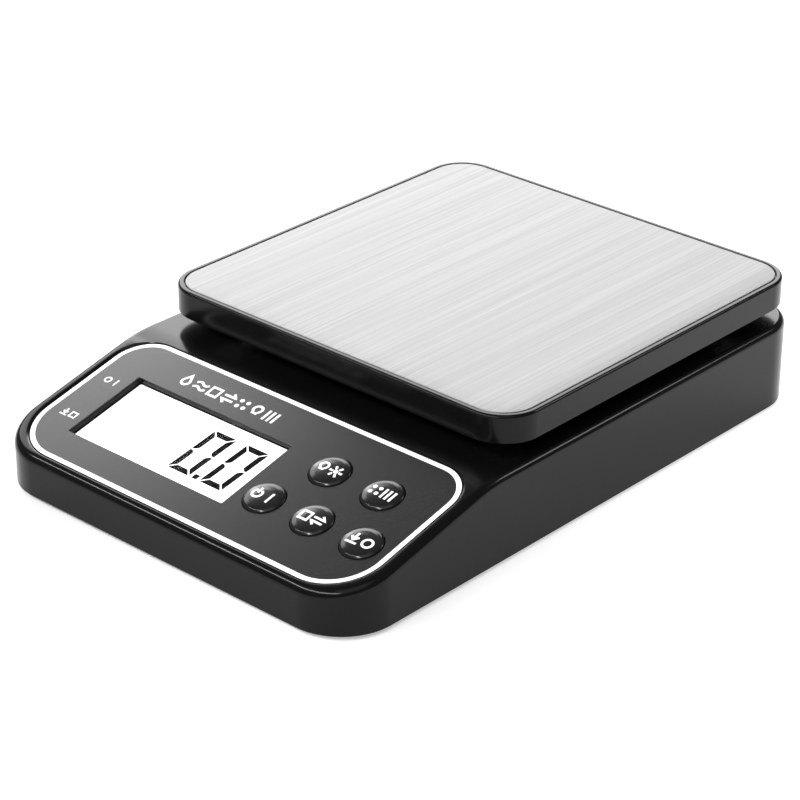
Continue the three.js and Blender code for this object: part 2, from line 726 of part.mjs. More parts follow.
const batteryRows = Array.from(
  { length: BATTERY_COUNT },
  (_, i) => bayFront + CLEARANCE + batteryPitch * (i + 0.5),
);
batteryRows.forEach((y, i) => {
  const direction = i % 2 ? -1 : 1;
  const half = BATTERY_LENGTH / 2;
  const radius = BATTERY_DIAMETER / 2;
  const points = [
    [0, -half],
    [radius - 0.5, -half],
    [radius, -half + 0.5],
    [radius, half - 1.6],
    [radius - 0.8, half - 1],
    [1.9, half - 1],
    [1.9, half],
    [0, half],
  ].map(([r, along]) => new THREE.Vector2(r, along));
  const geometry = new THREE.LatheGeometry(points, 20)
    .rotateZ((-direction * Math.PI) / 2)
    .translate((bayLeft + bayRight) / 2, y, batteryMiddle);
  add(scale, `battery_${i + 1}`, solid(geometry), NICKEL);
});

const contact = (x, y0, y1) =>
  box(
    x,
    x + CONTACT_THICKNESS,
    y0,
    y1,
    coverTop + 1,
    bayRoof - 0.5,
  );
const contactInset = 1.5;
const bridgeX = bayLeft + CLEARANCE;
const terminalX = bayRight - CLEARANCE - CONTACT_THICKNESS;
add(
  scale,
  'battery_bridge_contact',
  contact(bridgeX, bayFront + contactInset, bayBack - contactInset),
  NICKEL,
);
add(
  scale,
  'battery_plus_contact',
  contact(terminalX, batteryRows[0] - batteryPitch / 2 + contactInset, batteryRows[0] + 3.5),
  NICKEL,
);
add(
  scale,
  'battery_minus_contact',
  contact(terminalX, batteryRows[1] - 3.5, batteryRows[1] + batteryPitch / 2 - contactInset),
  NICKEL,
);

// ---- load cell ----------------------------------------------------------------------------

function loadCell() {
  let beam = box(-CELL_WIDTH / 2, CELL_WIDTH / 2, cellFront, cellRear, cellBottom, cellTop);
  const middle = (cellBottom + cellTop) / 2;
  const crossBore = (y, diameter) =>
    solid(
      new THREE.CylinderGeometry(diameter / 2, diameter / 2, CELL_WIDTH + 2, 20)
        .rotateZ(Math.PI / 2)
        .translate(0, y, middle),
    );
  beam = beam
    .subtract(crossBore(platformMiddle - CELL_HOLE_PITCH / 2, CELL_HOLE))
    .subtract(crossBore(platformMiddle + CELL_HOLE_PITCH / 2, CELL_HOLE))
    .subtract(
      box(
        -CELL_WIDTH,
        CELL_WIDTH,
        platformMiddle - CELL_HOLE_PITCH / 2,
        platformMiddle + CELL_HOLE_PITCH / 2,
        middle - CELL_HOLE / 4,
        middle + CELL_HOLE / 4,
      ),
    );
  const bolt = CELL_BOLT + 2 * CLEARANCE;
  cellBolts(fixedEnd).forEach((y) => {
    beam = beam.subtract(upright(0, y, cellBottom - 1, cellBottom + CELL_HEIGHT * 0.7, bolt, 14));
  });
  cellBolts(freeEnd).forEach((y) => {
    beam = beam.subtract(upright(0, y, cellTop - CELL_HEIGHT * 0.7, cellTop + 1, bolt, 14));
  });
  return beam;
}
add(scale, 'load_cell', loadCell(), ALUMINIUM);

const gaugeCover = roundedBox(
  -CELL_WIDTH / 2 + 0.5,
  CELL_WIDTH / 2 - 0.5,
  platformMiddle - GAUGE_COVER_LENGTH / 2,
  platformMiddle + GAUGE_COVER_LENGTH / 2,
  cellTop + CLEARANCE,
  cellTop + CLEARANCE + GAUGE_COVER_THICKNESS,
  2,
  3,
);
add(scale, 'gauge_cover', gaugeCover, SILICONE);

// steel plate that spreads the cell's fixed end over the lower cover
function cellBasePlate() {
  let plate = roundedBox(
    -BASE_PLATE_WIDTH / 2,
    BASE_PLATE_WIDTH / 2,
    cellFront - 3,
    cellFront + CELL_END_PAD,
    coverTop + CLEARANCE,
    coverTop + CLEARANCE + BASE_PLATE_THICKNESS,
    3,
    3,
  );
  cellBolts(fixedEnd).forEach((y) => {
    plate = plate.subtract(upright(0, y, 0, THROUGH, CELL_BOLT + 2 * CLEARANCE, 14));
  });
  return plate;
}
add(scale, 'cell_base_plate', cellBasePlate(), ZINC);
cellBolts(fixedEnd).forEach((y, i) => {
  const piece = screw(0, y, headSeat - HEAD_GAP, cellBottom + CELL_HEIGHT * 0.6, CELL_BOLT);
  add(scale, `cell_base_screw_${i + 1}`, piece, ZINC);
});

// ---- platform -----------------------------------------------------------------------------

const platform = new THREE.Group();
scale.add(platform);

// cross-shaped bracket: four arms under the tray and a post down to the cell's free end
const armTip = [platformHalf * BRACKET_REACH, platformHalfLength * BRACKET_REACH];
const trayScrews = [-1, 1].flatMap((sideX) =>
  [-1, 1].map((sideY) => [sideX * armTip[0], platformMiddle + sideY * armTip[1]]),
);
const post = {
  x: POST_WIDTH / 2,
  y0: cellRear - CELL_END_PAD + 1,
  y1: cellRear,
  bottom: cellTop + CLEARANCE,
};
const postSeat = post.bottom + POST_FLOOR; // floor of the post's deep counterbores

function platformBracket() {
  const reach = Math.hypot(armTip[0], armTip[1]) + BRACKET_ARM_WIDTH / 2;
  const angle = Math.atan2(armTip[1], armTip[0]);
  const arm = (turn) =>
    solid(
      new THREE.BoxGeometry(2 * reach, BRACKET_ARM_WIDTH, BRACKET_THICKNESS)
        .rotateZ(turn)
        .translate(0, platformMiddle, (bracketBottom + bracketTop) / 2),
    );
  let bracket = arm(angle).add(arm(-angle));
  bracket = bracket.add(
    roundedBox(
      -BRACKET_HUB / 2,
      BRACKET_HUB / 2,
      platformMiddle - BRACKET_HUB / 2,
      post.y1 + POST_FLOOR,
      bracketBottom,
      bracketTop,
      4,
      3,
    ),
  );
  bracket = bracket.add(
    box(-post.x, post.x, post.y0, post.y1, post.bottom, bracketTop - SINK),
  );
  cellBolts(freeEnd).forEach((y) => {
    bracket = bracket.subtract(upright(0, y, 0, platformTop, CELL_BOLT + 2 * CLEARANCE, 14));
    bracket = bracket.subtract(
      upright(0, y, postSeat, platformTop, CELL_BOLT * HEAD_RATIO + 2 * CLEARANCE, 16),
    );
  });
  trayScrews.forEach(([x, y]) => {
    bracket = bracket.subtract(upright(x, y, 0, platformTop, TRAY_SCREW + 2 * CLEARANCE, 12));
  });
  return bracket;
}
add(platform, 'platform_bracket', platformBracket(), ZINC);

cellBolts(freeEnd).forEach((y, i) => {
  const piece = screw(0, y, postSeat + HEAD_GAP, cellTop - CELL_HEIGHT * 0.6, CELL_BOLT);
  add(platform, `cell_top_screw_${i + 1}`, piece, ZINC);
});

// tray: shallow upside-down box with bosses down to the bracket, and a seat for the steel plate
const plateSeat = platformTop - PLATE_THICKNESS - CLEARANCE;
function platformTray() {
  const outer = roundedBox(
    -platformHalf,
    platformHalf,
    platformFront,
    platformRear,
    skirtBottom,
    platformTop,
    PLATFORM_CORNER,
    8,
  );
  const inner = roundedBox(
    -platformHalf + SKIRT_WALL,
    platformHalf - SKIRT_WALL,
    platformFront + SKIRT_WALL,
    platformRear - SKIRT_WALL,
    skirtBottom - 1,
    plateSeat - PLATFORM_TOP_WALL,
    PLATFORM_CORNER - SKIRT_WALL,
    8,
  );
  const seatInset = PLATFORM_LIP - PLATE_GAP;
  const seat = roundedBox(
    -platformHalf + seatInset,
    platformHalf - seatInset,
    platformFront + seatInset,
    platformRear - seatInset,
    plateSeat,
    platformTop + 1,
    PLATFORM_CORNER - seatInset,
    8,
  );
  let tray = outer.subtract(inner).subtract(seat);
  trayScrews.forEach(([x, y]) => {
    const boss = upright(x, y, bracketTop + CLEARANCE, plateSeat - 1, TRAY_BOSS, 16);
    tray = tray.add(boss);
    tray = tray.subtract(upright(x, y, bracketTop, plateSeat - 1.2, TRAY_SCREW + 2 * CLEARANCE, 12));
  });
  return tray;
}
add(platform, 'platform_tray', platformTray(), CASING_BLACK);

const weighingPlate = roundedBox(
  -platformHalf + PLATFORM_LIP,
  platformHalf - PLATFORM_LIP,
  platformFront + PLATFORM_LIP,
  platformRear - PLATFORM_LIP,
  platformTop - PLATE_THICKNESS,
  platformTop,
  PLATFORM_CORNER - PLATFORM_LIP,
  8,
);
add(platform, 'weighing_plate', weighingPlate, BRUSHED_STEEL);

trayScrews.forEach(([x, y], i) => {
  const name = ['left_front', 'left_rear', 'right_front', 'right_rear'][i];
  const piece = screw(x, y, bracketBottom - HEAD_GAP, plateSeat - 1.8, TRAY_SCREW, 12);
  add(platform, `tray_screw_${name}`, piece, ZINC);
});

// silicone boot between the deck opening and the post keeps water out
function sealingBoot() {
  const gap = CLEARANCE;
  const outer = roundedBox(
    -post.x - BOOT_WIDTH,
    post.x + BOOT_WIDTH,
    post.y0 - BOOT_WIDTH,
    post.y1 + BOOT_WIDTH,
    deck + CLEARANCE,
    deck + CLEARANCE + BOOT_HEIGHT,
    4,
    3,
  );
  const hole = box(
    -post.x - gap,
    post.x + gap,
    post.y0 - gap,
    post.y1 + gap,
    deck - 1,
    deck + BOOT_HEIGHT + 2,
  );
  return outer.subtract(hole);
}
add(scale, 'sealing_boot', sealingBoot(), SILICONE);

// ---- boards and leads ---------------------------------------------------------------------

const mainBoardSlab = box(
  mainBoard.x0,
  mainBoard.x1,
  mainBoard.y0,
  mainBoard.y1,
  mainBoardBottom,
  mainBoardTop,
);
add(scale, 'main_board', mainBoardSlab, BOARD_GREEN);
const chipX = (mainBoard.x0 + mainBoard.x1) / 2;
const chipY = (mainBoard.y0 + mainBoard.y1) / 2;
const chip = box(
  chipX - CHIP_SIDE / 2,
  chipX + CHIP_SIDE / 2,
  chipY - CHIP_SIDE / 2,
  chipY + CHIP_SIDE / 2,
  mainBoardTop + 0.1,
  mainBoardTop + 0.1 + CHIP_HEIGHT,
);
add(scale, 'controller_chip', chip, CHIP_BLACK);

// a round lead swept along a smooth route
function lead(points) {
  const path = new THREE.CatmullRomCurve3(points.map((p) => new THREE.Vector3(...p)));
  const section = new THREE.Shape();
  section.absarc(0, 0, LEAD_DIAMETER / 2, 0, 2 * Math.PI);
  return solid(
    new THREE.ExtrudeGeometry(section, { extrudePath: path, steps: 18, curveSegments: 4 }),
  );
}
const leadZ = mainBoardTop + LEAD_DIAMETER / 2 + CLEARANCE;
const cellLead = lead([
  [-CELL_WIDTH / 2 - 1, platformMiddle - 8, cellTop - 2.5],
  [-CELL_WIDTH / 2 - 4, platformMiddle - 22, cellTop - 3],
  [-CELL_WIDTH / 2 - 14, cellFront + 4, leadZ + 3],
  [mainBoard.x1 - 6, mainBoard.y1 - 4, leadZ],
]);
add(scale, 'load_cell_lead', cellLead, LEAD_GREY);
const batteryLead = lead([
  [bayLeft + 4, bayBack + BAY_WALL + 2, bayRoof - 1],
  [bayLeft - 8, bayBack + BAY_WALL + 2, bayRoof - 2],
  [(bayLeft + mainBoard.x1) / 2, chipY + 4, leadZ + 2],
  [mainBoard.x1 - 5, chipY + 2, leadZ],
]);
add(scale, 'battery_lead', batteryLead, LEAD_GREY);

export default scale;
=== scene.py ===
import json
import math

import bmesh
import bpy
import numpy as np
from mathutils import Matrix, Vector


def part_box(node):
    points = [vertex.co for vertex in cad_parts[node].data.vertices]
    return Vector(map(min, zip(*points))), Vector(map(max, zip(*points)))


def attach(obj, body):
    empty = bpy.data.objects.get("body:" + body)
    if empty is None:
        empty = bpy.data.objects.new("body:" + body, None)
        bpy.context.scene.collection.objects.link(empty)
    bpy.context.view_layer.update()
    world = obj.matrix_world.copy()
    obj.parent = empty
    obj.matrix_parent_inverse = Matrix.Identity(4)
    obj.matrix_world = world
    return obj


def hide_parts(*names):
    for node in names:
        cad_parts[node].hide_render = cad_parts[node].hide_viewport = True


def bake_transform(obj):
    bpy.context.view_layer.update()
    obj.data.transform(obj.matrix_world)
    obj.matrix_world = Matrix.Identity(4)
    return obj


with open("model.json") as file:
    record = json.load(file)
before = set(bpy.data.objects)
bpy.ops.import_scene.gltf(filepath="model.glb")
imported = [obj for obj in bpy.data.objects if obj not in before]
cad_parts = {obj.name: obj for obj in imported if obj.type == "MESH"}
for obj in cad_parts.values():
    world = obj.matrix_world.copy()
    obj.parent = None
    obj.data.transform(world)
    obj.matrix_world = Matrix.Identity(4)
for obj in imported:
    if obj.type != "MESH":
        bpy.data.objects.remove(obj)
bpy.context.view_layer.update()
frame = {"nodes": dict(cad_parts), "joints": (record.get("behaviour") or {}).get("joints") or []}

# ---- Camera -----------------------------------------------------------------------------
# A long lens from the front right, 27 degrees above the table, and rolled by less than half
# a degree.
CAMERA_PLACE = (0.57488, -0.64337, 0.45778)
CAMERA_AZIMUTH, CAMERA_ELEVATION, CAMERA_ROLL = 41.985, 27.223, 0.38
LENS_MM, SENSOR_MM = 124.9, 36

camera = bpy.data.objects.new("camera", bpy.data.cameras.new("camera"))
camera.data.lens = LENS_MM
camera.data.sensor_width = SENSOR_MM
camera.data.clip_start, camera.data.clip_end = 0.01, 100
camera.matrix_world = (
    Matrix.Translation(CAMERA_PLACE)
    @ Matrix.Rotation(math.radians(CAMERA_AZIMUTH), 4, "Z")
    @ Matrix.Rotation(math.radians(90 - CAMERA_ELEVATION), 4, "X")
    @ Matrix.Rotation(math.radians(CAMERA_ROLL), 4, "Z")
)
bpy.context.scene.collection.objects.link(camera)
bpy.context.scene.camera = camera
bpy.context.scene.view_settings.view_transform = "Standard"

# ---- Table top --------------------------------------------------------------------------
# A plain white paper sweep under the scale, which glows a little more towards the back right.
# It has the first material, so the two classes that every material is made with are here.
FLOOR_HALF = 9.0
FLOOR_WHITE, FLOOR_SHADE = (0.93, 0.93, 0.93, 1), (0.91, 0.91, 0.915, 1)
GLOW_RISE, GLOW_MIDDLE, GLOW_STRENGTH = 1.1, 0.45, 0.9


class Socket:
    """An output socket. Arithmetic on it with numbers or other sockets adds Math nodes."""

    def __init__(self, finish, output):
        self.finish, self.output = finish, output

    def math(self, operation, first, second=0.0):
        values = {0: first, 1: second}
        return self.finish.node("Math", {"operation": operation}, values)

    def __add__(self, other):
        return self.math("ADD", self, other)

    def __sub__(self, other):
        return self.math("SUBTRACT", self, other)

    def __rsub__(self, other):
        return self.math("SUBTRACT", other, self)

    def __mul__(self, other):
        return self.math("MULTIPLY", self, other)

    def __gt__(self, other):
        return self.math("GREATER_THAN", self, other)

    def __abs__(self):
        return self.math("ABSOLUTE", self)

    __radd__, __rmul__ = __add__, __mul__


class Finish:
    """One material. node() adds a node from its type, its settings and its sockets' values."""

    def __init__(self, name):
        self.material = bpy.data.materials.new(name)
        self.material.use_nodes = True
        self.tree = self.material.node_tree
        self.tree.nodes.clear()

    def node(self, kind, settings=None, values=None, output=0):
        made = self.tree.nodes.new("ShaderNode" + kind)
        for key, value in (settings or {}).items():
            if key == "stops":
                for element, (place, grey) in zip(made.color_ramp.elements, value):
                    element.position, element.color = place, (grey, grey, grey, 1)
            else:
                setattr(made, key, value)
        for key, value in (values or {}).items():
            if isinstance(value, Socket):
                self.tree.links.new(value.output, made.inputs[key])
            else:
                made.inputs[key].default_value = value
        return Socket(self, made.outputs[output])

    def place(self):
        """Object coordinates, in metres."""
        return self.node("TexCoord", output=3)

    def noise(self, scale, stretch=(1, 1, 1), detail=3.0, roughness=0.5):
        """Cloudy noise, 0 to 1, of `scale` lumps a metre, stretched along each axis."""
        where = self.node("Mapping", None, {0: self.place(), 3: stretch})
        values = {"Vector": where, "Scale": scale, "Detail": detail, "Roughness": roughness}
        return self.node("TexNoise", None, values)

    def ramp(self, factor, stops):
        """Grey read off a ramp by factor. stops: (place, grey)."""
        return self.node("ValToRGB", {"stops": stops}, {0: factor})

    def mix(self, factor, first, second):
        """Colour between first and second by factor."""
        values = {0: factor, 6: first, 7: second}
        return self.node("Mix", {"data_type": "RGBA"}, values, output=2)

    def bump(self, height, distance, strength):
        """A normal that leans as if height stood up by distance, in metres."""
        values = {"Height": height, "Distance": distance, "Strength": strength}
        return self.node("Bump", None, values)

    def shader(self, values):
        """The finished material, from its shader's sockets."""
        surface = self.node("BsdfPrincipled", None, values)
        out = self.tree.nodes.new("ShaderNodeOutputMaterial")
        self.tree.links.new(surface.output, out.inputs[0])
        return self.material


paper = Finish("sweep_paper")
paper_tone = paper.mix(paper.noise(3.0), FLOOR_WHITE, FLOOR_SHADE)
across = paper.node("SeparateXYZ", None, {0: paper.place()})
behind = paper.node("SeparateXYZ", None, {0: paper.place()}, output=1)
glow_place = (behind + across) * GLOW_RISE + GLOW_MIDDLE
paper_glow = paper.ramp(glow_place, [(0.1, 0.0), (0.8, 1.0)])
paper_white = paper.shader(
    {
        "Base Color": paper_tone,
        "Roughness": 0.9,
        "Specular IOR Level": 0.1,
        "Emission Color": paper_glow,
        "Emission Strength": GLOW_STRENGTH,
    }
)

floor_mesh = bpy.data.meshes.new("floor")
floor_corners = np.array([(-1, -1, 0), (1, -1, 0), (1, 1, 0), (-1, 1, 0)]) * FLOOR_HALF
floor_mesh.from_pydata(floor_corners.tolist(), [], [(0, 1, 2, 3)])
floor_mesh.materials.append(paper_white)
floor = bpy.data.objects.new("floor", floor_mesh)
bpy.context.scene.collection.objects.link(floor)

# ---- Lights -----------------------------------------------------------------------------
# Soft boxes in an even white surround: a broad one behind on the left that the flat tops
# mirror, one for the left side, one over the front for the table, and two small ones that
# light up the rounded edges.
SOFT_BOXES = (
    # name, place, aimed at, width, height, watts
    ("box_back_left", (-1.15, 1.25, 0.85), (0, 0, 0.03), 1.5, 1.1, 29),
    ("box_left", (-1.75, 0.5, 1.2), (-0.05, -0.08, 0.02), 0.9, 0.9, 11),
    ("box_over_front", (0.9, -1.0, 1.9), (0, 0, 0), 1.6, 1.6, 8),
    ("strip_front", (-0.35, -1.15, 1.2), (0, 0, 0.02), 2.2, 0.09, 26),
    ("strip_right", (0.95, 1.35, 1.2), (0, 0, 0.02), 0.5, 0.3, 4.5),
)
SURROUND = 0.22

for box_name, place, target, width, height, watts in SOFT_BOXES:
    lamp = bpy.data.lights.new(box_name, "AREA")
    lamp.shape, lamp.size, lamp.size_y, lamp.energy = "RECTANGLE", width, height, watts
    holder = bpy.data.objects.new(box_name, lamp)
    aim = Vector(target) - Vector(place)
    turn = aim.to_track_quat("-Z", "Y").to_matrix().to_4x4()
    holder.matrix_world = Matrix.Translation(place) @ turn
    bpy.context.scene.collection.objects.link(holder)

surround = bpy.data.worlds.new("surround")
surround.use_nodes = True
surround.node_tree.nodes["Background"].inputs[0].default_value = (1, 1, 1, 1)
surround.node_tree.nodes["Background"].inputs[1].default_value = SURROUND
bpy.context.scene.world = surround

# ---- Lower cover and battery door -------------------------------------------------------
# The flat bottom of the casing, moulded in black ABS with a fine spark-eroded texture, and
# the door that swings down from it over the batteries. Both keep their CAD shapes.
eroded = Finish("eroded_black_abs")
grain = eroded.noise(2600.0, detail=2.0)
eroded_tone = eroded.mix(eroded.noise(60.0), (0.018, 0.018, 0.019, 1), (0.027, 0.027, 0.028, 1))
eroded_black = eroded.shader(
    {
        "Base Color": eroded_tone,
        "Roughness": grain * 0.18 + 0.46,
        "Normal": eroded.bump(grain, 0.00012, 0.6),
    }
)


def dress(material, *nodes):
    """Gives CAD nodes a finish."""
    for node in nodes:
        mesh = frame["nodes"][node].data
        mesh.materials.clear()
        mesh.materials.append(material)


dress(eroded_black, "lower_cover", "battery_door")

# ---- Feet -------------------------------------------------------------------------------
# Four turned rubber pads pressed into round pockets of the cover, with a rounded edge and
# a ring groove in the sole.
MM = 0.001
AXIS = 0.05  # radius of the small circle that a turned piece closes on
SHARP_ANGLE = 35.0
GROOVE_INSIDE, GROOVE_OUTSIDE, GROOVE_SLANT, GROOVE_DEPTH = 2.6, 3.8, 0.3, 0.35


def half_outline(half, front, rear, front_corner, rear_corner, along, steps):
    """Right half of a rounded rectangle, from the front's middle to the rear's: a quarter
    circle, the straight side with a point at each y of `along`, and a quarter circle."""
    turn = np.linspace(0, np.pi / 2, steps + 1)
    first = np.stack(
        (
            half - front_corner * (1 - np.sin(turn)),
            front + front_corner * (1 - np.cos(turn)),
        ),
        axis=1,
    )
    side = np.stack((np.full(len(along), float(half)), np.array(along, float)), axis=1)
    last = np.stack(
        (
            half - rear_corner * (1 - np.cos(turn)),
            rear - rear_corner * (1 - np.sin(turn)),
        ),
        axis=1,
    )
    return np.concatenate((first, side.reshape(-1, 2), last))


def lifted(outline, height):
    """An outline's points with their heights."""
    heights = np.broadcast_to(np.asarray(height, float), len(outline))
    return np.column_stack((outline, heights))


def merged(points, quads):
    """The same surface with its doubled points made one. A quad whose corner equals the next
    one turns into a triangle, and one with two such corners has no area and goes."""
    _, first, place = np.unique(
        np.round(points, 5), axis=0, return_index=True, return_inverse=True
    )
    quads = place.reshape(-1)[quads]
    same = quads == np.roll(quads, -1, axis=1)
    doubles = same.sum(axis=1)
    triangles = quads[doubles == 1][~same[doubles == 1]].reshape(-1, 3)
    return points[first], quads[doubles == 0].tolist() + triangles.tolist()


def stacked(levels, middle=0.0, loop=False):
    """A closed surface through stacked outlines. Each level is the right half of a ring; the
    left half mirrors it about x = middle. Quads join each level to the next, strips from
    right to left close the first and the last, or with `loop` the last joins the first."""
    right = np.array(levels, float)
    left = right * (-1, 1, 1) + (2 * middle, 0, 0)
    rings, count = right.shape[:2]
    points = np.concatenate((right, left), axis=1).reshape(-1, 3)
    ring = np.arange(rings if loop else rings - 1)[:, None] * 2 * count
    above = (ring + 2 * count) % (rings * 2 * count)
    here, there = np.arange(count - 1)[None], np.arange(1, count)[None]
    quads = [
        np.stack((ring + here, ring + there, above + there, above + here), axis=-1),
        count + np.stack((ring + there, ring + here, above + here, above + there), axis=-1),
    ]
    quads = [q.reshape(-1, 4) for q in quads]
    end = count - 1
    quads.append(np.stack((ring + count, ring, above, above + count), axis=-1).reshape(-1, 4))
    quads.append(
        np.stack(
            (ring + end, ring + count + end, above + count + end, above + end), axis=-1
        ).reshape(-1, 4)
    )
    if not loop:
        here, there = here[0], there[0]
        last = (rings - 1) * 2 * count
        quads.append(np.stack((count + here, count + there, there, here), axis=-1))
        quads.append(
            np.stack(
                (last + here, last + there, last + count + there, last + count + here),
                axis=-1,
            )
        )
    quads = np.concatenate(quads)
    a, b, c, d = (points[quads[:, i]] for i in range(4))
    volume = np.sum(a * np.cross(b, c)) + np.sum(a * np.cross(c, d))
    return merged(points, quads if volume > 0 else quads[:, ::-1])


def smooth(mesh, angle):
    """Shades a mesh smooth but for the edges that turn by more than angle degrees."""
    mesh.polygons.foreach_set("use_smooth", np.ones(len(mesh.polygons), bool))
    mesh.set_sharp_from_angle(angle=math.radians(angle))


def mesh_of(name, points, faces):
    """A mesh from points in millimetres and faces."""
    mesh = bpy.data.meshes.new(name)
    faces = faces.tolist() if isinstance(faces, np.ndarray) else faces
    mesh.from_pydata((np.asarray(points) * MM).tolist(), [], faces)
    smooth(mesh, SHARP_ANGLE)
    mesh.update()
    return mesh


def piece(mesh, body, slot, material, *replaced):
    """Puts a mesh into the scene as a finished piece that rides on a body."""
    made = bpy.data.objects.new(mesh.name, mesh)
    mesh.materials.clear()
    mesh.materials.append(material)
    bpy.context.scene.collection.objects.link(made)
    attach(made, body)
    if replaced:
        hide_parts(*replaced)
    return made


def eased(corners, steps=6):
    """A section line through corners (across, height, radius), each turned by an arc of its
    radius: the arc's centre lies on the corner's bisector, and its ends touch both sides."""
    line = []
    for index, (across, height, radius) in enumerate(corners):
        corner = np.array((across, height), float)
        if radius == 0:
            line.append(corner[None])
            continue
        back = np.array(corners[index - 1][:2]) - corner
        on = np.array(corners[index + 1][:2]) - corner
        back, on = back / np.linalg.norm(back), on / np.linalg.norm(on)
        bisector = (back + on) / np.linalg.norm(back + on)
        half_angle = math.acos(float(back @ bisector))
        centre = corner + bisector * radius / math.sin(half_angle)
        start = corner + back * radius / math.tan(half_angle) - centre
        finish = corner + on * radius / math.tan(half_angle) - centre
        sweep = math.atan2(start[0] * finish[1] - start[1] * finish[0], start @ finish)
        turn = np.linspace(0, sweep, steps + 1)[:, None]
        side = np.array((-start[1], start[0]))
        line.append(centre + start * np.cos(turn) + side * np.sin(turn))
    return np.concatenate(line)


def turned(line, centre, steps=24):
    """A piece turned on a lathe: each (radius, height) of the section is a circle."""
    x, y = centre
    levels = [
        lifted(half_outline(radius, y - radius, y + radius, radius, radius, (), steps), height)
        + (x, 0, 0)
        for radius, height in line
    ]
    return stacked(levels, x)


rubber = Finish("moulded_rubber")
rubber_grain = rubber.noise(1800.0)
rubber_black = rubber.shader(
    {
        "Base Color": rubber.mix(rubber_grain, (0.012, 0.012, 0.012, 1), (0.022, 0.022, 0.022, 1)),
        "Roughness": rubber_grain * 0.15 + 0.72,
        "Normal": rubber.bump(rubber_grain, 0.0001, 0.5),
    }
)


def node_box(node):
    """A CAD node's lowest and highest corners, in millimetres."""
    low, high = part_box(node)
    return np.array(low) / MM, np.array(high) / MM


for foot in ("foot_front_left", "foot_front_right", "foot_rear_left", "foot_rear_right"):
    low, high = node_box(foot)
    sole = (high[0] - low[0]) / 2
    foot_line = eased(
        [
            (AXIS, 0.0, 0),
            (GROOVE_INSIDE, 0.0, 0.2),
            (GROOVE_INSIDE + GROOVE_SLANT, GROOVE_DEPTH, 0.1),
            (GROOVE_OUTSIDE - GROOVE_SLANT, GROOVE_DEPTH, 0.1),
            (GROOVE_OUTSIDE, 0.0, 0.2),
            (sole, 0.0, 0.7),
            (sole, high[2], 0.15),
            (AXIS, high[2], 0),
        ]
    )
    centre = ((low[0] + high[0]) / 2, (low[1] + high[1]) / 2)
    foot_mesh = mesh_of(f"{foot}_pad", *turned(foot_line, centre))
    piece(foot_mesh, "casing", "foot_rubber", rubber_black, foot)

# ---- Screws -----------------------------------------------------------------------------
# Pan-head steel screws, zinc plated: four hold the cover on, two fix the load cell to the
# base plate, two hold the bracket on the cell and four hold the tray on the bracket.
plated = Finish("zinc_plated_steel")
plating = plated.noise(420.0, detail=4.0)
zinc = plated.shader(
    {
        "Base Color": plated.mix(plating, (0.52, 0.53, 0.55, 1), (0.66, 0.67, 0.69, 1)),
        "Metallic": 1.0,
        "Roughness": plating * 0.2 + 0.26,
        "Normal": plated.bump(plating, 0.00004, 0.4),
    }
)
SCREWS = ["cell_base_screw_1", "cell_base_screw_2", "cell_top_screw_1", "cell_top_screw_2"]
SCREWS += [f"case_screw_{end}_{side}" for end in ("front", "rear") for side in ("left", "right")]
SCREWS += [f"tray_screw_{side}_{end}" for side in ("left", "right") for end in ("front", "rear")]
dress(zinc, *SCREWS)

# ---- Batteries and contacts -------------------------------------------------------------
# Two cells with a printed sleeve shrunk on, their ends bare steel, and sprung contact plates
# of nickel-plated strip.
SLEEVE_MIDDLE, SLEEVE_HALF = 0.0455, 0.0195
sleeve = Finish("battery_sleeve")
along = sleeve.node("SeparateXYZ", None, {0: sleeve.place()})
end_band = abs(along - SLEEVE_MIDDLE) > SLEEVE_HALF
sleeve_tone = sleeve.mix(end_band, (0.03, 0.09, 0.16, 1), (0.55, 0.50, 0.36, 1))
battery_skin = sleeve.shader(
    {
        "Base Color": sleeve_tone,
        "Metallic": end_band * 0.9,
        "Roughness": sleeve.noise(300.0) * 0.15 + 0.25,
    }
)
dress(battery_skin, "battery_1", "battery_2")
nickel = Finish("nickel_plate")
nickel_cloud = nickel.noise(500.0)
nickel_plate = nickel.shader(
    {
        "Base Color": nickel.mix(nickel_cloud, (0.6, 0.57, 0.5, 1), (0.7, 0.67, 0.6, 1)),
        "Metallic": 1.0,
        "Roughness": nickel_cloud * 0.15 + 0.22,
    }
)
dress(nickel_plate, "battery_bridge_contact", "battery_plus_contact", "battery_minus_contact")

# ---- Load cell --------------------------------------------------------------------------
# A milled aluminium beam with two joined bores, its gauges under a silicone cover. One end
# is bolted to a plate on the cover, the other carries the platform's bracket and sinks.
CLAMPED = 22.0  # length of each end that stays straight
MERGE_WITHIN = 0.01
milled = Finish("milled_aluminium")
mill_marks = milled.noise(700.0, stretch=(1, 0.04, 1))
cell_metal = milled.shader(
    {
        "Base Color": milled.mix(mill_marks, (0.58, 0.59, 0.6, 1), (0.72, 0.73, 0.74, 1)),
        "Metallic": 1.0,
        "Roughness": mill_marks * 0.2 + 0.28,
        "Normal": milled.bump(mill_marks, 0.00003, 0.6),
    }
)
dress(zinc, "cell_base_plate", "platform_bracket")
potting = Finish("silicone_rubber")
potting_cloud = potting.noise(240.0)
silicone = potting.shader(
    {
        "Base Color": potting.mix(potting_cloud, (0.02, 0.02, 0.021, 1), (0.035, 0.035, 0.036, 1)),
        "Roughness": potting_cloud * 0.15 + 0.62,
        "Normal": potting.bump(potting_cloud, 0.00008, 0.4),
    }
)
dress(silicone, "sealing_boot")


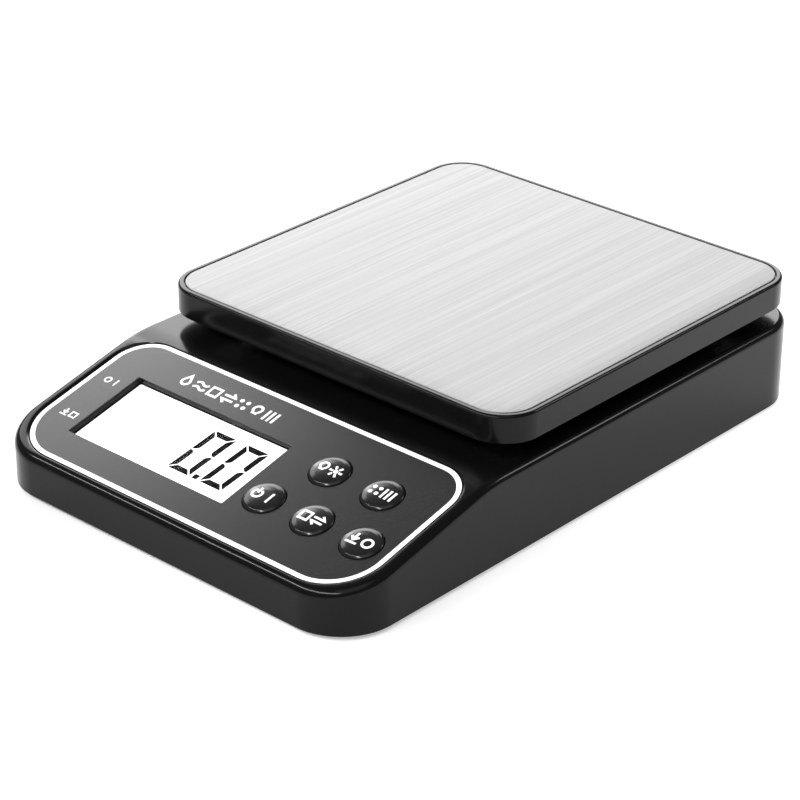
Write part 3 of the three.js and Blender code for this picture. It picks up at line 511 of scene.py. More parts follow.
def flexing(name, node, slot, material, fixed_end, free_end):
    """A copy of a CAD node with its doubled points merged, put in the scene in the node's
    place. fixed_end and free_end are not used."""
    mesh = frame["nodes"][node].data.copy()
    mesh.name = name
    loose = bmesh.new()
    loose.from_mesh(mesh)
    bmesh.ops.remove_doubles(loose, verts=loose.verts, dist=MERGE_WITHIN * MM)
    loose.to_mesh(mesh)
    loose.free()
    mesh.materials.clear()
    mesh.materials.append(material)
    beam = bpy.data.objects.new(name, mesh)
    bpy.context.scene.collection.objects.link(beam)
    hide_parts(node)
    fixed_end * MM
    free_end * MM
    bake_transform(beam)


cell_low, cell_high = node_box("load_cell")
beam_span = cell_low[1] + CLAMPED, cell_high[1] - CLAMPED
flexing("load_cell_beam", "load_cell", "cell_aluminium", cell_metal, *beam_span)
flexing("gauge_sleeve", "gauge_cover", "silicone", silicone, *beam_span)

# ---- Boards, chip, switches and leads ---------------------------------------------------
# Green boards with copper tracks under the solder mask, black moulded parts on them, and
# round leads in a grey sheath.
mask = Finish("solder_mask")
track_values = {"Vector": mask.place(), "Scale": 340.0, "Randomness": 0.15}
track_settings = {"feature": "F1", "distance": "MANHATTAN"}
track_cells = mask.node("TexVoronoi", track_settings, track_values)
tracks = mask.ramp(track_cells, [(0.46, 0.0), (0.54, 1.0)])
board_green = mask.shader(
    {
        "Base Color": mask.mix(tracks, (0.012, 0.10, 0.035, 1), (0.02, 0.17, 0.06, 1)),
        "Roughness": 0.35,
        "Normal": mask.bump(tracks, 0.00004, 0.8),
    }
)
dress(board_green, "display_board", "main_board")
moulded = Finish("component_black")
moulded_cloud = moulded.noise(900.0)
component_black = moulded.shader(
    {
        "Base Color": moulded.mix(moulded_cloud, (0.012, 0.012, 0.013, 1), (0.03, 0.03, 0.03, 1)),
        "Roughness": moulded_cloud * 0.2 + 0.4,
    }
)
KEYS = ("power", "unit", "tare", "backlight", "count")
dress(component_black, "controller_chip", *[f"{key}_switch" for key in KEYS])
nylon = Finish("white_nylon")
nylon_cloud = nylon.noise(160.0)
nylon_white = nylon.shader(
    {
        "Base Color": nylon.mix(nylon_cloud, (0.62, 0.61, 0.57, 1), (0.72, 0.71, 0.68, 1)),
        "Roughness": nylon_cloud * 0.15 + 0.42,
        "Subsurface Weight": 0.1,
    }
)
dress(nylon_white, "display_holder", *[f"{key}_plunger" for key in KEYS])
sheath = Finish("lead_sheath")
sheath_cloud = sheath.noise(600.0)
lead_grey = sheath.shader(
    {
        "Base Color": sheath.mix(sheath_cloud, (0.12, 0.12, 0.13, 1), (0.18, 0.18, 0.19, 1)),
        "Roughness": sheath_cloud * 0.15 + 0.5,
    }
)
dress(lead_grey, "load_cell_lead", "battery_lead")

# ---- Upper housing ----------------------------------------------------------------------
# The glossy black ABS top shell. Walls stand straight, the top edge is rounded, the front
# slopes down as a console with a sunk place for the panel, and the deck behind is flat.
FRONT_CORNER, REAR_CORNER = 21.0, 19.2
EDGE_FILLET = 2.7
WALL = 2.4
FOOT_EASE = 0.45
SIDE_POINTS, BEND_POINTS = 9, 17
BEND_RADIUS = 60.0
RIM_HEIGHT = 0.6
PANEL_THICKNESS = 0.6
PANEL_FRONT_CORNER, PANEL_REAR_CORNER = 19.3, 14.0
PANEL_GAP = 0.3
CONSOLE_LENGTH = 65.9
BEND_BEHIND_PANEL = 0.3
KEY_RADIUS, BORE_GAP = 7.25, 0.3
LENS_OVERLAP, WINDOW_CORNER = 2.0, 0.4
OPENING_INSET, OPENING_CORNER = 2.0, 3.0
BOSS_RADIUS, BOSS_RAISE, CASE_BORE = 4.0, 2.8, 1.6
THROUGH = 1.0  # a cutting solid stands at least this far past what it cuts
CUT_DEPTH, BACKING_TOP, RECESS_TOP = 5.0, 30.0, 24.0
CARVED_SHARP_ANGLE = 30.0

key_travel = next(joint for joint in frame["joints"] if joint["name"] == "power_press")
slope = math.asin(-key_travel["axis"][1])
case_low, case_high = node_box("upper_housing")
panel_low, panel_high = node_box("console_panel")
deck = case_high[2]
panel_front = panel_low[1]
panel_height = panel_low[2] + PANEL_THICKNESS * math.cos(slope)
panel_half = panel_high[0]
panel_back = panel_front + CONSOLE_LENGTH * math.cos(slope)
bend_at = panel_back + BEND_BEHIND_PANEL
bend_reach = BEND_RADIUS * math.tan(slope / 2)


def casing_top(y):
    """Height of the top at y: a straight slope, a circle's arc, then level."""
    sloped = deck + (y - bend_at) * math.tan(slope)
    run = np.clip(bend_at + bend_reach - y, 0, BEND_RADIUS * math.sin(slope))
    arc = deck - (BEND_RADIUS - np.sqrt(BEND_RADIUS**2 - run**2))
    return np.where(y <= bend_at - bend_reach * math.cos(slope), sloped, arc)


def casing_levels(inset, bottom, top_at, fillet, foot_ease=0.0, steps=20, fillet_steps=8):
    """Rings of the casing, bottom to top. Each is its outline drawn in by `inset` and by
    fillet x (1 - cos turn), and stands fillet x (1 - sin turn) under the top's height."""
    bend = np.linspace(bend_at - bend_reach, bend_at + bend_reach, BEND_POINTS)
    console_side = np.linspace(case_low[1] + 24, bend[0] - 1.5, SIDE_POINTS)
    deck_side = np.linspace(bend[-1] + 2, case_high[1] - 22, SIDE_POINTS)
    sides = np.concatenate((console_side, bend, deck_side))

    def ring(shrink):
        drawn = inset + shrink
        return half_outline(
            case_high[0] - drawn,
            case_low[1] + drawn,
            case_high[1] - drawn,
            FRONT_CORNER - drawn,
            REAR_CORNER - drawn,
            sides,
            steps,
        )

    levels = []
    if foot_ease:
        for turn in np.linspace(0, np.pi / 2, 4)[:-1]:
            shrink = foot_ease * (1 - np.sin(turn))
            levels.append(lifted(ring(shrink), bottom + foot_ease * (1 - np.cos(turn))))
    levels.append(lifted(ring(0), bottom + foot_ease))
    for turn in np.linspace(0, np.pi / 2, fillet_steps + 1):
        outline = ring(fillet * (1 - math.cos(turn)))
        levels.append(lifted(outline, top_at(outline[:, 1]) - fillet * (1 - math.sin(turn))))
    return levels


def on_console(points):
    """Points given across the panel, up its slope and off its face, in the casing's frame:
    turned by the slope about X and moved to the panel's front edge."""
    x, up, off = np.asarray(points, float).T
    y = panel_front + up * math.cos(slope) - off * math.sin(slope)
    z = panel_height + up * math.sin(slope) + off * math.cos(slope)
    return np.column_stack((x, y, z))


def console_box(node):
    """A CAD node's lowest and highest corners on the console: across, up, off the face."""
    x, y, z = np.array([v.co for v in frame["nodes"][node].data.vertices]).T / MM
    y, z = y - panel_front, z - panel_height
    up = y * math.cos(slope) + z * math.sin(slope)
    off = z * math.cos(slope) - y * math.sin(slope)
    console = np.column_stack((x, up, off))
    return console.min(0), console.max(0)


def plate(low, high, corners, line, steps=14, loop=False):
    """A rounded plate from its front and rear corners' radii: each (grow, height) of the
    section is its outline grown, the corners staying round down to a small radius."""
    half, middle = (high[0] - low[0]) / 2, (high[0] + low[0]) / 2
    levels = []
    for grow, height in line:
        front, rear = (max(corner + grow, 0.2) for corner in corners)
        outline = half_outline(half + grow, low[1] - grow, high[1] + grow, front, rear, (), steps)
        levels.append(lifted(outline, height) + (middle, 0, 0))
    return stacked(levels, middle, loop)


def console_plate(*values, **options):
    """The same plate laid on the console."""
    points, faces = plate(*values, **options)
    return on_console(points), faces


def carved(name, base, steps):
    """A solid cut by others or joined with them in turn. Each solid is a mesh, or points and
    faces; each step is DIFFERENCE or UNION and a solid."""

    def shown(title, solid):
        mesh = solid if isinstance(solid, bpy.types.Mesh) else mesh_of(title, *solid)
        made = bpy.data.objects.new(title, mesh)
        bpy.context.scene.collection.objects.link(made)
        return made

    work = shown(name, base)
    for operation, solid in steps:
        tool = shown("tool", solid)
        cut = work.modifiers.new("cut", "BOOLEAN")
        cut.operation, cut.solver, cut.object = operation, "MANIFOLD", tool
        depsgraph = bpy.context.evaluated_depsgraph_get()
        result = bpy.data.meshes.new_from_object(work.evaluated_get(depsgraph))
        work.modifiers.clear()
        spent, work.data = (work.data, tool.data), result
        bpy.data.objects.remove(tool)
        for mesh in spent:
            bpy.data.meshes.remove(mesh)
    mesh = work.data
    bpy.data.objects.remove(work)
    mesh.name = name
    smooth(mesh, CARVED_SHARP_ANGLE)
    return mesh


lens_low, lens_high = console_box("display_lens")
window_low = lens_low + (LENS_OVERLAP, LENS_OVERLAP, 0)
window_high = lens_high - (LENS_OVERLAP, LENS_OVERLAP, 0)
console_under = lens_high[2] + PANEL_GAP
key_boxes = {key: console_box(f"{key}_key") for key in KEYS}
key_centres = {key: (low + high)[:2] / 2 for key, (low, high) in key_boxes.items()}

outer = stacked(casing_levels(0, case_low[2], casing_top, EDGE_FILLET, FOOT_EASE))
hollow = stacked(
    casing_levels(
        WALL,
        case_low[2] - THROUGH,
        lambda y: casing_top(y) - WALL - RIM_HEIGHT,
        EDGE_FILLET - 1,
        steps=10,
        fillet_steps=4,
    )
)

# the hollow leaves a thick back behind the panel, and a boss with a bore over each screw
backing = console_plate(
    (-panel_half - THROUGH, -THROUGH),
    (panel_half + THROUGH, CONSOLE_LENGTH + THROUGH),
    (1, 1),
    [(0, console_under), (0, BACKING_TOP)],
)
bosses = []
boss_bores = []
for screw in SCREWS:
    if not screw.startswith("case_screw"):
        continue
    low, high = node_box(screw)
    spot = (low[0] + high[0]) / 2, (low[1] + high[1]) / 2
    roof = float(casing_top(np.array(spot[1])))
    boss_bottom = case_low[2] + BOSS_RAISE
    boss_line = [(BOSS_RADIUS, boss_bottom), (BOSS_RADIUS, roof)]
    bore_line = [(CASE_BORE, boss_bottom - THROUGH), (CASE_BORE, high[2] + THROUGH)]
    bosses.append(("DIFFERENCE", turned(boss_line, spot, 10)))
    boss_bores.append(("DIFFERENCE", turned(bore_line, spot, 8)))
hollow_mesh = carved("hollow", hollow, [("DIFFERENCE", backing), *bosses])

# the sunk place: a gap beside the panel, a slanted wall up to the rim, eased at the top.
# Each corner is its distance from the panel's edge, height over its face, and arc
recess_line = eased(
    [
        (PANEL_GAP, -PANEL_THICKNESS - PANEL_GAP, 0),
        (PANEL_GAP, 0.02, 0.1),
        (0.95, RIM_HEIGHT - 0.03, 0.35),
        (2.6, RIM_HEIGHT + 0.05, 0),
        (2.6, RECESS_TOP, 0),
    ]
)
PANEL = (-panel_half, 0), (panel_half, CONSOLE_LENGTH), (PANEL_FRONT_CORNER, PANEL_REAR_CORNER)
recess = console_plate(*PANEL, recess_line, steps=20)
WINDOW = window_low[:2], window_high[:2], (WINDOW_CORNER, WINDOW_CORNER)
window_line = [(0, console_under - CUT_DEPTH), (0, THROUGH)]
window_hole = console_plate(*WINDOW, window_line, steps=4)
bores = []
bore_radius = KEY_RADIUS + BORE_GAP
for spot in key_centres.values():
    hole_line = [(bore_radius, console_under - CUT_DEPTH), (bore_radius, THROUGH)]
    points, faces = turned(hole_line, spot, 16)
    bores.append(("DIFFERENCE", (on_console(points), faces)))
boot_low, boot_high = node_box("sealing_boot")
deck_opening = plate(
    boot_low[:2] + OPENING_INSET,
    boot_high[:2] - OPENING_INSET,
    (OPENING_CORNER, OPENING_CORNER),
    [(0, deck - 8), (0, deck + THROUGH)],
    steps=6,
)
cuts = [("DIFFERENCE", solid) for solid in (hollow_mesh, recess, window_hole, deck_opening)]
housing = carved("housing_shell", outer, cuts + bores + boss_bores)


def evened(made):
    """Weights a piece's shading by the area of its faces, so that flat ones look flat."""
    even = made.modifiers.new("even_faces", "WEIGHTED_NORMAL")
    even.keep_sharp = True


gloss = Finish("gloss_black_abs")
gloss_cloud = gloss.noise(35.0, detail=4.0)
flow = gloss.noise(9.0, stretch=(1, 1, 2), detail=1.0)
gloss_black = gloss.shader(
    {
        "Base Color": gloss.mix(gloss_cloud, (0.003, 0.003, 0.0032, 1), (0.005, 0.005, 0.0054, 1)),
        "Roughness": gloss_cloud * 0.04 + 0.13,
        "Specular IOR Level": 0.16,
        "Normal": gloss.bump(flow, 0.0004, 0.25),
    }
)
evened(piece(housing, "casing", "gloss_black_plastic", gloss_black, "upper_housing"))

# ---- Console panel ----------------------------------------------------------------------
# A printed satin overlay bonded into the sunk place, with the window and the key holes cut
# out, and a white line printed round its edge.
LINE_WIDTH, LINE_INSET = 1.75, 0.14
INK_FOOT, INK_HEIGHT = 0.004, 0.03
panel_line = eased([(0.0, -PANEL_THICKNESS, 0), (0.0, 0.0, 0.12), (-2.0, 0.0, 0)], 3)
panel_sheet = console_plate(*PANEL, panel_line, steps=20)
panel_window = console_plate(*WINDOW, [(0, -4.0), (0, THROUGH)], steps=4)
overlay = carved("console_overlay", panel_sheet, [("DIFFERENCE", panel_window)] + bores)

satin = Finish("printed_overlay")
satin_grain = satin.noise(1500.0, detail=2.0)
satin_cloud = satin.noise(14.0)
overlay_grey = satin.shader(
    {
        "Base Color": satin.mix(satin_cloud, (0.012, 0.012, 0.0125, 1), (0.016, 0.016, 0.0165, 1)),
        "Roughness": satin_grain * 0.05 + 0.17,
        "Specular IOR Level": 0.31,
        "Normal": satin.bump(satin_grain, 0.00002, 0.35),
    }
)
piece(overlay, "casing", "printed_panel", overlay_grey, "console_panel")

ink = Finish("glowing_white_ink")
ink_cloud = ink.noise(420.0)
glowing_white_ink = ink.shader(
    {
        "Base Color": ink.mix(ink_cloud, (0.88, 0.88, 0.88, 1), (0.96, 0.96, 0.96, 1)),
        "Roughness": ink_cloud * 0.1 + 0.35,
        # the ink glows a little though it is no lamp: painted light that keeps the white line and
        # marks bright
        "Emission Color": (1, 1, 1, 1),
        "Emission Strength": 0.3,
    }
)
line_section = [
    (-LINE_INSET, INK_FOOT),
    (-LINE_INSET, INK_HEIGHT),
    (-LINE_INSET - LINE_WIDTH, INK_HEIGHT),
    (-LINE_INSET - LINE_WIDTH, INK_FOOT),
]
border_points = console_plate(*PANEL, line_section, steps=24, loop=True)
border = mesh_of("border_line", *border_points)
piece(border, "casing", "printed_panel", glowing_white_ink)

# ---- Printed marks ----------------------------------------------------------------------
# Plain pictograms screen-printed in white: a row over the window and two beside it. Each is
# a few strokes of even width in a square of one unit.
STROKE, STROKE_END, MITRE_LIMIT = 0.168, 0.3, 0.5
LONGEST_STEP = 0.6
MARK_DEPTH = 0.05  # the ink stands this far over the surface, and as far under it
TITLE = ("drop", "wave", "block", "swap", "dots", "lamp", "tally")
TITLE_START, TITLE_PITCH, TITLE_UP, TITLE_SIZE = -44.9, 6.65, 55.1, 5.7
SIDE_MARKS = ((41.0, ("ring", "bar")), (20.6, ("down", "block")))
SIDE_COLUMNS, SIDE_SIZE = (-70.0, -66.1), 3.4


def arc(middle_x, middle_y, radius, start, end, steps):
    """Points on a circle from one angle to another, in degrees."""
    turn = np.radians(np.linspace(start, end, steps))
    return np.column_stack((middle_x + radius * np.cos(turn), middle_y + radius * np.sin(turn)))


def dot(x, y, radius):
    """A round dot, as a stroke round a tight circle."""
    return arc(x, y, radius, 0, 360, 11)


WAVE_TURN = np.linspace(0, 6.283, 13)
PICTOGRAMS = {
    "power": [arc(0, -0.03, 0.36, 125, 415, 22), [(0, 0.5), (0, 0.08)]],
    "bar": [[(0, -0.42), (0, 0.42)]],
    "ring": [arc(0, 0, 0.36, 0, 360, 26)],
    "swap": [
        [(-0.4, 0.18), (0.42, 0.18), (0.14, 0.44)],
        [(0.4, -0.18), (-0.42, -0.18), (-0.14, -0.44)],
    ],
    "down": [
        [(0, 0.46), (0, -0.16)],
        [(-0.26, 0.1), (0, -0.17), (0.26, 0.1)],
        [(-0.4, -0.42), (0.4, -0.42)],
    ],
    "lamp": [arc(0, 0.12, 0.3, -50, 230, 20), [(-0.17, -0.24), (0.17, -0.24)]],
    "rays": [dot(0, 0, 0.1)]
    + [
        [(0.3 * math.cos(a), 0.3 * math.sin(a)), (0.48 * math.cos(a), 0.48 * math.sin(a))]
        for a in np.arange(6) * math.pi / 3
    ],
    "dots": [dot(x, y, 0.07) for x in (-0.26, 0.26) for y in (-0.26, 0.26)],
    "tally": [[(x, -0.4), (x, 0.4)] for x in (-0.36, 0, 0.36)],
    "drop": [np.concatenate(([(0, 0.48)], arc(0, -0.13, 0.29, 40, -220, 16), [(0, 0.48)]))],
    "wave": [
        np.column_stack((np.linspace(-0.45, 0.45, 13), 0.1 * np.sin(WAVE_TURN) + up))
        for up in (0.22, -0.22)
    ],
    "block": [[(-0.36, -0.36), (0.36, -0.36), (0.36, 0.36), (-0.36, 0.36), (-0.36, -0.36)]],
}


def resampled(line):
    """The same line with no step longer than LONGEST_STEP."""
    parts = []
    for first, second in zip(line[:-1], line[1:]):
        count = max(1, math.ceil(np.linalg.norm(second - first) / LONGEST_STEP))
        parts.append(first + (second - first) * np.arange(count)[:, None] / count)
    return np.concatenate(parts + [line[-1:]])


def strokes(lines, place, size, width, low, high):
    """Strokes carried along their lines: each point moves half a width to both sides along
    its mitre, and stands from height low to high."""
    points, faces, start = [], [], 0
    for line in lines:
        line = resampled(np.asarray(line, float) * size)
        step = np.diff(line, axis=0)
        step /= np.linalg.norm(step, axis=1)[:, None]
        closed = np.allclose(line[0], line[-1])
        before = np.concatenate((step[-1:] if closed else step[:1], step))
        after = np.concatenate((step, step[:1] if closed else step[-1:]))
        along = before + after
        along /= np.linalg.norm(along, axis=1)[:, None]
        normal = np.column_stack((-along[:, 1], along[:, 0]))
        mitre = np.sum(normal * np.column_stack((-after[:, 1], after[:, 0])), axis=1)
        offset = normal * (width / 2 / np.maximum(mitre, MITRE_LIMIT))[:, None]
        if closed:
            line, offset = line[:-1], offset[:-1]
        else:
            line[0] -= step[0] * width * STROKE_END
            line[-1] += step[-1] * width * STROKE_END
        count = len(line)
        left, right = line + offset, line - offset
        rows = ((left, low), (right, low), (right, high), (left, high))
        block = np.concatenate([lifted(side, height) for side, height in rows])
        block[:, :2] += place
        here = np.arange(count if closed else count - 1)
        there = (here + 1) % count
        quads = [
            np.column_stack((a + here, b + here, b + there, a + there))
            for a, b in np.array(((0, 1), (1, 2), (2, 3), (3, 0))) * count
        ]
        if not closed:
            ends = np.arange(4) * count
            quads.append(np.array([ends[::-1], ends + count - 1]))
        points.append(block)
        faces.append(np.concatenate(quads) + start)
        start += len(block)
    return np.concatenate(points), np.concatenate(faces)[:, ::-1]


def printed(name, body, slot, marks, surface=None):
    """Pictograms printed on the console. marks: (pictogram, place, size); surface gives the
    height under a point."""
    points, faces, start = [], [], 0
    for kind, spot, size in marks:
        lines, width = PICTOGRAMS[kind], STROKE * size
        block, quads = strokes(lines, np.array(spot), size, width, -MARK_DEPTH, MARK_DEPTH)
        points.append(block)
        faces.append(quads + start)
        start += len(block)
    points, faces = np.concatenate(points), np.concatenate(faces)
    if surface is not None:
        points[:, 2] += surface(points[:, :2])
    return piece(mesh_of(name, on_console(points), faces), body, slot, glowing_white_ink)


title_marks = [
    (kind, (TITLE_START + TITLE_PITCH * index, TITLE_UP), TITLE_SIZE)
    for index, kind in enumerate(TITLE)
]
side_marks = [
    (kind, (x, up), SIDE_SIZE)
    for up, pair in SIDE_MARKS
    for x, kind in zip(SIDE_COLUMNS, pair)
]
printed("panel_marks", "casing", "printed_panel", title_marks + side_marks)

# ---- Display ----------------------------------------------------------------------------
# A clear lens under the window, and behind it a glass with a white ground and black segments,
# lit by a white diffuser, and a black ring of painted shade round the window's edge. A holder
# clips them under the panel.
LENS_CORNER, GLASS_CORNER = 0.8, 0.5
FIGURE_WIDTH, FIGURE_HEIGHT, FIGURE_PITCH = 10.3, 22.3, 15.0
SEGMENT, SEGMENT_GAP, SEGMENT_HEIGHT = 2.4, 0.75, 0.04
POINT_HALF, POINT_HEIGHT = 1.1, 2.2
LEAN = 0.055
FIGURES_START = (-20.98, 20.35)
# width of the black ring of painted shade round the window
SHADE_RING_WIDTH = 1.4
clear = Finish("clear_lens")
clear_cloud = clear.noise(80.0)
lens_clear = clear.shader(
    {
        "Base Color": (1, 1, 1, 1),
        "Roughness": clear_cloud * 0.02,
        "Transmission Weight": 1.0,
        "IOR": 1.06,
    }
)
lens_line = eased([(0, lens_low[2], 0), (0, lens_high[2], 0.12), (-1, lens_high[2], 0)], 3)
lens_corners = (LENS_CORNER, LENS_CORNER)
lens_points = console_plate(lens_low[:2], lens_high[:2], lens_corners, lens_line, steps=4)
lens = mesh_of("display_window", *lens_points)
piece(lens, "casing", "clear_lens", lens_clear, "display_lens")

ground = Finish("display_ground")
ground_cloud = ground.noise(600.0)
ground_white = ground.shader(
    {
        "Base Color": ground.mix(ground_cloud, (0.9, 0.9, 0.9, 1), (0.96, 0.96, 0.96, 1)),
        "Roughness": ground_cloud * 0.1 + 0.2,
        "Emission Color": (1, 1, 1, 1),
        "Emission Strength": 1.05,
    }
)
glass_low, glass_high = console_box("lcd_glass")
glass_line = eased([(0, glass_low[2], 0), (0, glass_high[2], 0.15), (-1, glass_high[2], 0)], 3)
glass_corners = (GLASS_CORNER, GLASS_CORNER)
glass_points = console_plate(glass_low[:2], glass_high[:2], glass_corners, glass_line, steps=4)
piece(mesh_of("display_glass", *glass_points), "casing", "lcd_glass", ground_white, "lcd_glass")

glow = Finish("diffuser")
glow_cloud = glow.noise(200.0)
diffuser_white = glow.shader(
    {
        "Base Color": glow.mix(glow_cloud, (0.86, 0.86, 0.84, 1), (0.94, 0.94, 0.92, 1)),
        "Roughness": glow_cloud * 0.1 + 0.5,
    }
)
dress(diffuser_white, "lcd_backlight")


def segment_outline(letter):
    """A segment's corners in the figure's box: a is the top bar, then clockwise to f. The
    ends are cut at 45 degrees, with a gap from the next segment."""
    w, h, s, g = FIGURE_WIDTH, FIGURE_HEIGHT, SEGMENT, SEGMENT_GAP / 2
    middle = h / 2
    top = [(g, h), (w - g, h), (w - s - g, h - s), (s + g, h - s)]
    upper_right = [
        (w, h - g),
        (w, middle + g),
        (w - s / 2, middle + g),
        (w - s, middle + s / 2 + g),
        (w - s, h - s - g),
    ]
    shape = {
        "a": top,
        "b": upper_right,
        "c": [(x, h - y) for x, y in upper_right],
        "d": [(x, h - y) for x, y in top],
        "e": [(w - x, h - y) for x, y in upper_right],
        "f": [(w - x, y) for x, y in upper_right],
    }[letter]
    return np.array(shape, float)


def prism(outline, low, high):
    """An upright prism over a flat outline, given either way round."""
    count = len(outline)
    edge = outline - outline.mean(0)
    if np.sum(np.cross(edge, np.roll(edge, -1, axis=0))) < 0:
        outline = outline[::-1]
    points = np.concatenate((lifted(outline, low), lifted(outline, high)))
    ring = np.arange(count)
    walls = np.column_stack((ring, (ring + 1) % count, (ring + 1) % count + count, ring + count))
    return points, walls.tolist() + [ring[::-1].tolist(), (ring + count).tolist()]


segment_ink = Finish("segment_black")
segment_cloud = segment_ink.noise(500.0)
segment_tone = segment_ink.mix(
    segment_cloud, (0.008, 0.008, 0.009, 1), (0.014, 0.014, 0.015, 1)
)
segment_black = segment_ink.shader(
    {
        "Base Color": segment_tone,
        "Roughness": segment_cloud * 0.1 + 0.55,
        "Specular IOR Level": 0.05,
    }
)

# two noughts, each segment leaning with its figure, and a point between them
outlines = [(figure, segment_outline(letter)) for figure in range(2) for letter in "abcdef"]
point_middle = FIGURE_WIDTH + (FIGURE_PITCH - FIGURE_WIDTH) / 2
west, east = point_middle - POINT_HALF, point_middle + POINT_HALF
point = [(west, 0), (east, 0), (east, POINT_HEIGHT), (west, POINT_HEIGHT)]
outlines.append((0, np.array(point)))
figure_low, figure_high = glass_high[2] + INK_FOOT, glass_high[2] + SEGMENT_HEIGHT
figure_points, figure_faces, start = [], [], 0
for figure, outline in outlines:
    leaning = outline + np.column_stack((LEAN * outline[:, 1], np.zeros(len(outline))))
    leaning += np.array(FIGURES_START) + (FIGURE_PITCH * figure, 0)
    points, faces = prism(leaning, figure_low, figure_high)
    figure_points.append(points)
    figure_faces += [[index + start for index in face] for face in faces]
    start += len(points)
figures = mesh_of("display_figures", on_console(np.concatenate(figure_points)), figure_faces)
piece(figures, "casing", "lcd_glass", segment_black)

# a black ring on the glass, from the window's edge outwards: painted shade that darkens the
# window's edge
shade_ring_low, shade_ring_high = glass_high[2] + INK_FOOT, glass_high[2] + INK_HEIGHT
shade_ring_line = [(0, shade_ring_low), (SHADE_RING_WIDTH, shade_ring_low), (SHADE_RING_WIDTH, shade_ring_high), (0, shade_ring_high)]
shade_ring_points = console_plate(*WINDOW, shade_ring_line, steps=4, loop=True)
piece(mesh_of("display_painted_shade_ring", *shade_ring_points), "casing", "lcd_glass", segment_black)

# ---- Keys -------------------------------------------------------------------------------
# Five domed caps in dark ABS, each with a flange that stops it under the panel, a stem on
# its switch's plunger and a white pictogram pair printed on top. Each rides on its own body.
KEY_MARKS = {
    "power": ("power", "bar"),
    "unit": ("block", "swap"),
    "tare": ("down", "ring"),
    "backlight": ("lamp", "rays"),
    "count": ("dots", "tally"),
}
MARK_SIZE, MARK_SPREAD, MARKS_ABOVE = 5.0, 2.7, 0.2
STEM_RADIUS, FLANGE_THICKNESS, SIDE_HEIGHT = 2.3, 1.0, 0.25
# the dome's corners: drawn in from the cap's side, under its crown, and arc
DOME = ((0.75, 0.42, 0.9), (2.2, 0.16, 2.0), (KEY_RADIUS * 0.6, 0.03, 3.0))


def on_dome(spot, line):
    """Gives the height of a cap's top under a point: the height that its section has at the
    point's distance from the cap's middle."""

    def height(places):
        return np.interp(np.linalg.norm(places - spot, axis=1), line[:, 0], line[:, 1])

    return height


cap = Finish("key_abs")
cap_grain = cap.noise(1300.0, detail=2.0)
cap_tone = cap.mix(cap.noise(90.0), (0.009, 0.009, 0.0095, 1), (0.013, 0.013, 0.0135, 1))
cap_grey = cap.shader(
    {
        "Base Color": cap_tone,
        "Roughness": cap_grain * 0.04 + 0.13,
        "Specular IOR Level": 0.3,
        "Normal": cap.bump(cap_grain, 0.00002, 0.3),
    }
)
for key in KEYS:
    low, high = key_boxes[key]
    spot = key_centres[key]
    flange = (high[0] - low[0]) / 2
    flange_top = console_under - PANEL_GAP
    flange_bottom = flange_top - FLANGE_THICKNESS
    crown = high[2]
    cap_line = eased(
        [
            (AXIS, low[2], 0),
            (STEM_RADIUS, low[2], 0.2),
            (STEM_RADIUS, flange_bottom, 0.3),
            (flange, flange_bottom, 0.2),
            (flange, flange_top, 0.2),
            (KEY_RADIUS, flange_top, 0.1),
            (KEY_RADIUS, SIDE_HEIGHT, 0.4),
            *[(KEY_RADIUS - inward, crown - down, radius) for inward, down, radius in DOME],
            (AXIS, crown, 0),
        ],
        8,
    )
    points, faces = turned(cap_line, spot, 24)
    cap_mesh = mesh_of(f"{key}_cap", on_console(points), faces)
    piece(cap_mesh, f"{key}_key", "key_plastic", cap_grey, f"{key}_key")
    crown_line = cap_line[np.argsort(cap_line[:, 0])]
    crown_line = crown_line[crown_line[:, 1] > MARKS_ABOVE]
    key_marks = [
        (kind, spot + (side * MARK_SPREAD, 0), MARK_SIZE)
        for side, kind in zip((-1, 1), KEY_MARKS[key])
    ]
    printed(f"{key}_mark", f"{key}_key", "key_plastic", key_marks, on_dome(spot, crown_line))

# ---- Platform tray ----------------------------------------------------------------------
# A shallow glossy ABS tray, open below, with a rounded lip and a seat for the steel sheet,
# and four bosses that screw down on the bracket.
tray_low, tray_high = node_box("platform_tray")
sheet_low, sheet_high = node_box("weighing_plate")
TRAY_CORNER = 15.0
SHEET_THICKNESS = 0.8
GROOVE = 0.4
SKIRT = 2.2
ROOF = 2.2
LIP_EASE = 1.1
TRAY_REACH = 30.0  # the section's ends lie this far in, and flat faces close it there
TRAY_BORE, BOSS_END, BORE_END = 1.8, 1.0, 1.2
seat = sheet_high[2] - SHEET_THICKNESS - PANEL_GAP
lip = sheet_low[0] - tray_low[0] - GROOVE
tray_line = eased(
    [
        (-TRAY_REACH, seat, 0),
        (-lip, seat, 0.15),
        (-lip, tray_high[2], 0.35),
        (0.0, tray_high[2], LIP_EASE),
        (0.0, tray_low[2], 0.6),
        (-SKIRT, tray_low[2], 0.4),
        (-SKIRT, seat - ROOF, 0.8),
        (-TRAY_REACH, seat - ROOF, 0),
    ],
    8,
)
tray_bosses = []
boss_foot = node_box("platform_bracket")[1][2] + PANEL_GAP
boss_line = [(BOSS_RADIUS, boss_foot), (BOSS_RADIUS, seat - BOSS_END)]
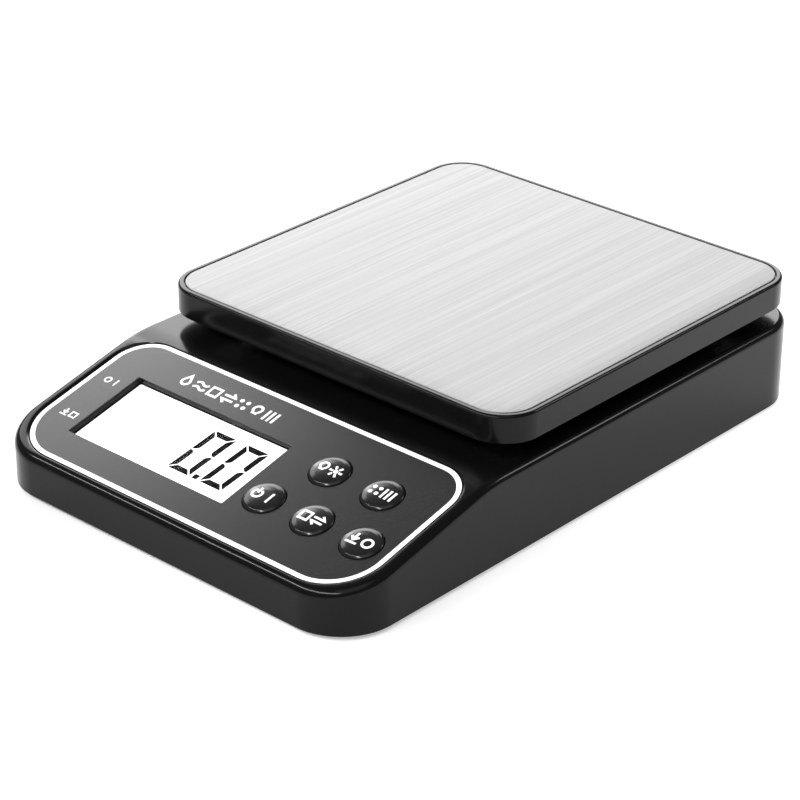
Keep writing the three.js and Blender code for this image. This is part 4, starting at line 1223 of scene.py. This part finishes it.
bore_line = [(TRAY_BORE, boss_foot - THROUGH), (TRAY_BORE, seat - BORE_END)]
for screw in SCREWS:
    if screw.startswith("tray_screw"):
        low, high = node_box(screw)
        spot = (low[0] + high[0]) / 2, (low[1] + high[1]) / 2
        tray_bosses.append(("UNION", turned(boss_line, spot, 10)))
        tray_bosses.append(("DIFFERENCE", turned(bore_line, spot, 8)))
tray_corners = (TRAY_CORNER, TRAY_CORNER)
tray_form = plate(tray_low[:2], tray_high[:2], tray_corners, tray_line, steps=20)
tray = carved("tray_shell", tray_form, tray_bosses)
evened(piece(tray, "platform", "gloss_black_plastic", gloss_black, "platform_tray"))

# ---- Weighing plate ---------------------------------------------------------------------
# A stamped stainless sheet, 0.8 mm thick with an eased edge, brushed from front to back and
# bonded into the tray's seat.
SHEET_REACH = 8.0
brushed = Finish("brushed_stainless")
long_streaks = brushed.noise(1.0, stretch=(900, 6, 1), detail=6.0, roughness=0.62)
fine_streaks = brushed.noise(1.0, stretch=(3000, 20, 1), detail=3.0, roughness=0.6)
broad_streaks = brushed.noise(1.0, stretch=(140, 1.4, 1), detail=2.0)
streaks = long_streaks * 0.5 + fine_streaks * 0.3 + broad_streaks * 0.2
streak_shade = brushed.ramp(streaks, [(0.36, 0.0), (0.64, 1.0)])
steel = brushed.shader(
    {
        "Base Color": brushed.mix(streak_shade, (0.215, 0.215, 0.215, 1), (0.35, 0.35, 0.35, 1)),
        "Metallic": 1.0,
        "Roughness": streaks * 0.2 + 0.46,
        "Normal": brushed.bump(streaks, 0.00006, 0.5),
    }
)
sheet_corner = TRAY_CORNER - lip - GROOVE
bottom, top = sheet_high[2] - SHEET_THICKNESS, sheet_high[2]
sheet_line = eased(
    [(-SHEET_REACH, bottom, 0), (0, bottom, 0.1), (0, top, 0.35), (-SHEET_REACH, top, 0)], 5
)
sheet_corners = (sheet_corner, sheet_corner)
sheet_points = plate(sheet_low[:2], sheet_high[:2], sheet_corners, sheet_line, steps=20)
piece(mesh_of("steel_sheet", *sheet_points), "platform", "brushed_plate", steel, "weighing_plate")
